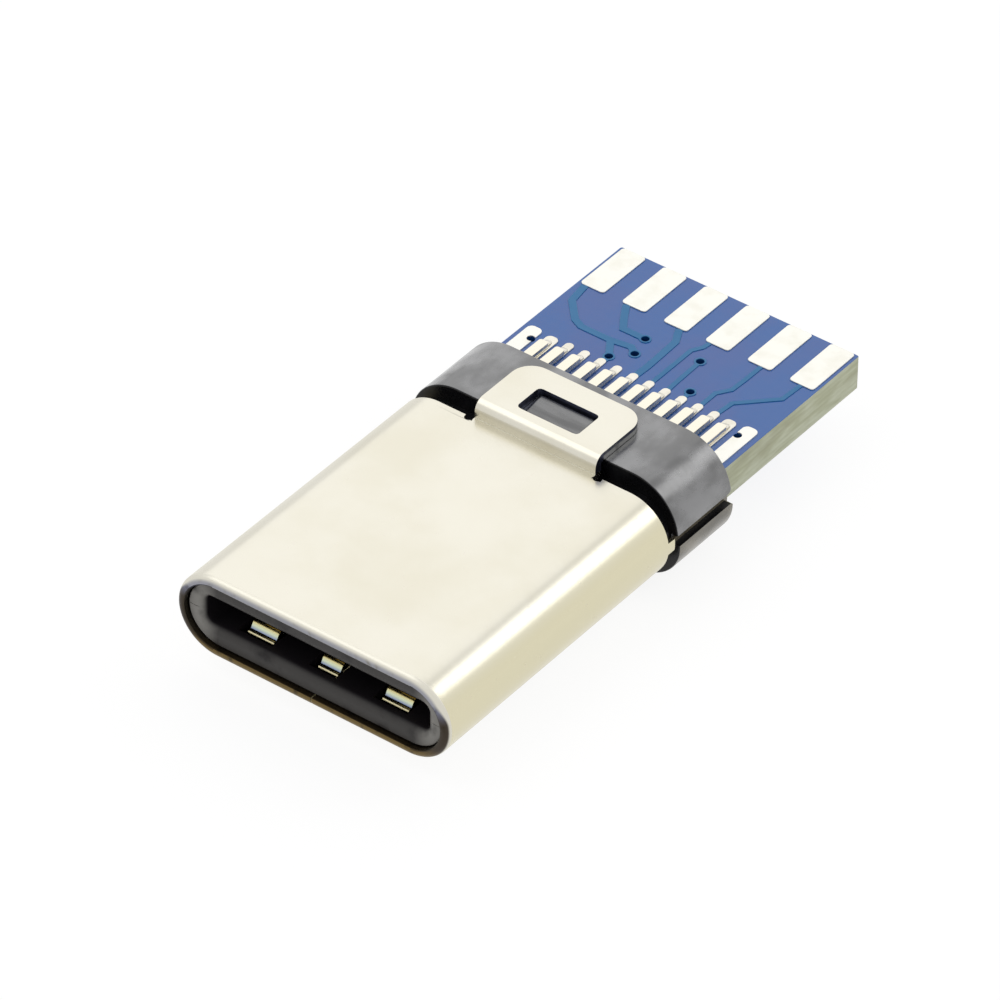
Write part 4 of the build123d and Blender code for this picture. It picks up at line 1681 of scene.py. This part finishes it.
@dataclass
class Studio:
    """The floor, the soft lights, the white surround and the camera of the photograph."""

    azimuth: float = 36.718
    elevation: float = 38.748
    roll: float = 0.713
    distance: float = 197.56
    lens: float = 288.954
    sensor: float = 36.0
    clip: Span = (0.01, 2.0)
    aim: Sequence[float] = (0.0, 9.5, 0.0)
    offset: Sequence[float] = (1.214, 0.691)
    floor_size: float = 600.0
    floor_colour: Colour = (0.82, 0.82, 0.82)
    surround: float = 0.6
    floor_share: float = 0.78
    floor_glow: float = 1.12

    def build(self) -> None:
        """Set up everything that is not part of the plug."""
        self.make_camera()
        self.make_world()
        self.make_floor()
        self.make_lights()

    def make_camera(self) -> None:
        """Stand the camera where the photograph was taken from."""
        turn, rise = math.radians(self.azimuth), math.radians(self.elevation)
        level = math.cos(rise)
        back = Vector((math.sin(turn) * level, -math.cos(turn) * level, math.sin(rise)))
        right = Vector((math.cos(turn), math.sin(turn), 0.0))
        up = back.cross(right)
        tilt = Matrix.Rotation(math.radians(self.roll), 3, back)
        right, up = tilt @ right, tilt @ up
        across, along = self.offset
        place = Vector(self.aim) - across * right - along * up + self.distance * back
        data = bpy.data.cameras.new("photo_camera")
        data.lens = self.lens
        data.sensor_width = self.sensor
        data.clip_start, data.clip_end = self.clip
        camera = bpy.data.objects.new("photo_camera", data)
        bpy.context.collection.objects.link(camera)
        turned = Matrix((right, up, back)).transposed().to_4x4()
        camera.matrix_world = Matrix.Translation(place * MM) @ turned
        bpy.context.scene.camera = camera
        bpy.context.scene.view_settings.view_transform = "Standard"

    def make_world(self) -> None:
        """Make a soft surround that the camera, glossy and clear rays see as white."""
        world = bpy.data.worlds.new("white_surround")
        world.use_nodes = True
        bpy.context.scene.world = world
        desk = Desk(world.node_tree)
        strength = self.surround + (1.0 - self.surround) * self.seen(desk)
        light = desk.add("ShaderNodeBackground", {}, {"Color": WHITE, "Strength": strength})
        desk.add("ShaderNodeOutputWorld", {}, {"Surface": light})

    @staticmethod
    def seen(desk: Desk) -> Signal:
        """Return 1 for the rays that show the background: camera, glossy and clear ones.

        Args:
            desk: The tree that the background is made in.

        Returns:
            The share as a signal.
        """
        paths = [desk.add("ShaderNodeLightPath", {}, {}, f"Is {kind} Ray")
                 for kind in ("Camera", "Glossy", "Transmission")]
        return desk.math("MAXIMUM", desk.math("MAXIMUM", *paths[:2]), paths[2])

    def make_floor(self) -> None:
        """Lay a pale floor under the lowest point, which is clear when seen from below."""
        bpy.ops.object.select_all(action="DESELECT")
        bpy.ops.mesh.primitive_plane_add(size=self.floor_size * MM, location=(0, 0, cad_low.z))
        floor = bpy.context.object
        floor.name = "pale_floor"
        material = bpy.data.materials.new("pale_floor")
        material.use_nodes = True
        floor.data.materials.append(material)
        desk = Desk(material.node_tree)
        plain = desk.add("ShaderNodeBsdfDiffuse", {}, {"Color": self.floor_colour})
        glow = desk.add("ShaderNodeEmission", {}, {"Color": WHITE, "Strength": self.floor_glow})
        share = self.floor_share * self.seen(desk)
        lit = desk.add("ShaderNodeMixShader", {}, {0: share, 1: plain, 2: glow})
        clear = desk.add("ShaderNodeBsdfTransparent", {}, {})
        behind = desk.add("ShaderNodeNewGeometry", {}, {}, "Backfacing")
        shown = desk.add("ShaderNodeMixShader", {}, {0: behind, 1: lit, 2: clear})
        desk.add("ShaderNodeOutputMaterial", {}, {"Surface": shown})

    def make_lights(self) -> None:
        """Hang the softboxes: each has a direction, a distance, a size and a strength."""
        boxes = {
            "back_box": ((-0.466, 0.625, 0.626), 160.0, 160.0, 0.35),
            "rim_box": ((0.45, 0.62, 0.60), 160.0, 60.0, 1.5),
            "bend_box": ((-0.466, -0.24, 0.852), 160.0, 110.0, 0.70),
        }
        for name, (towards, distance, size, strength) in boxes.items():
            data = bpy.data.lights.new(name, "AREA")
            data.size = size * MM
            data.energy = strength * (size * MM) ** 2 * math.pi
            lamp = bpy.data.objects.new(name, data)
            bpy.context.collection.objects.link(lamp)
            direction = Vector(towards).normalized()
            lamp.location = (Vector(self.aim) + distance * direction) * MM
            lamp.rotation_euler = direction.to_track_quat("Z", "Y").to_euler()
            lamp.visible_camera = False


def main() -> None:
    """Build the plug's sub-assemblies and the studio, in order."""
    upper = CollarHalf(Side.UPPER, width=8.20, flat=0.02)
    lower = CollarHalf(Side.LOWER, width=8.32, flat=0.46)
    for assembly in (RolledShell(), Nose(), upper, lower, ContactRows(), PaddleBoard(), Studio()):
        log.info("building %s", type(assembly).__name__)
        assembly.build()


if __name__ == "__main__":
    main()
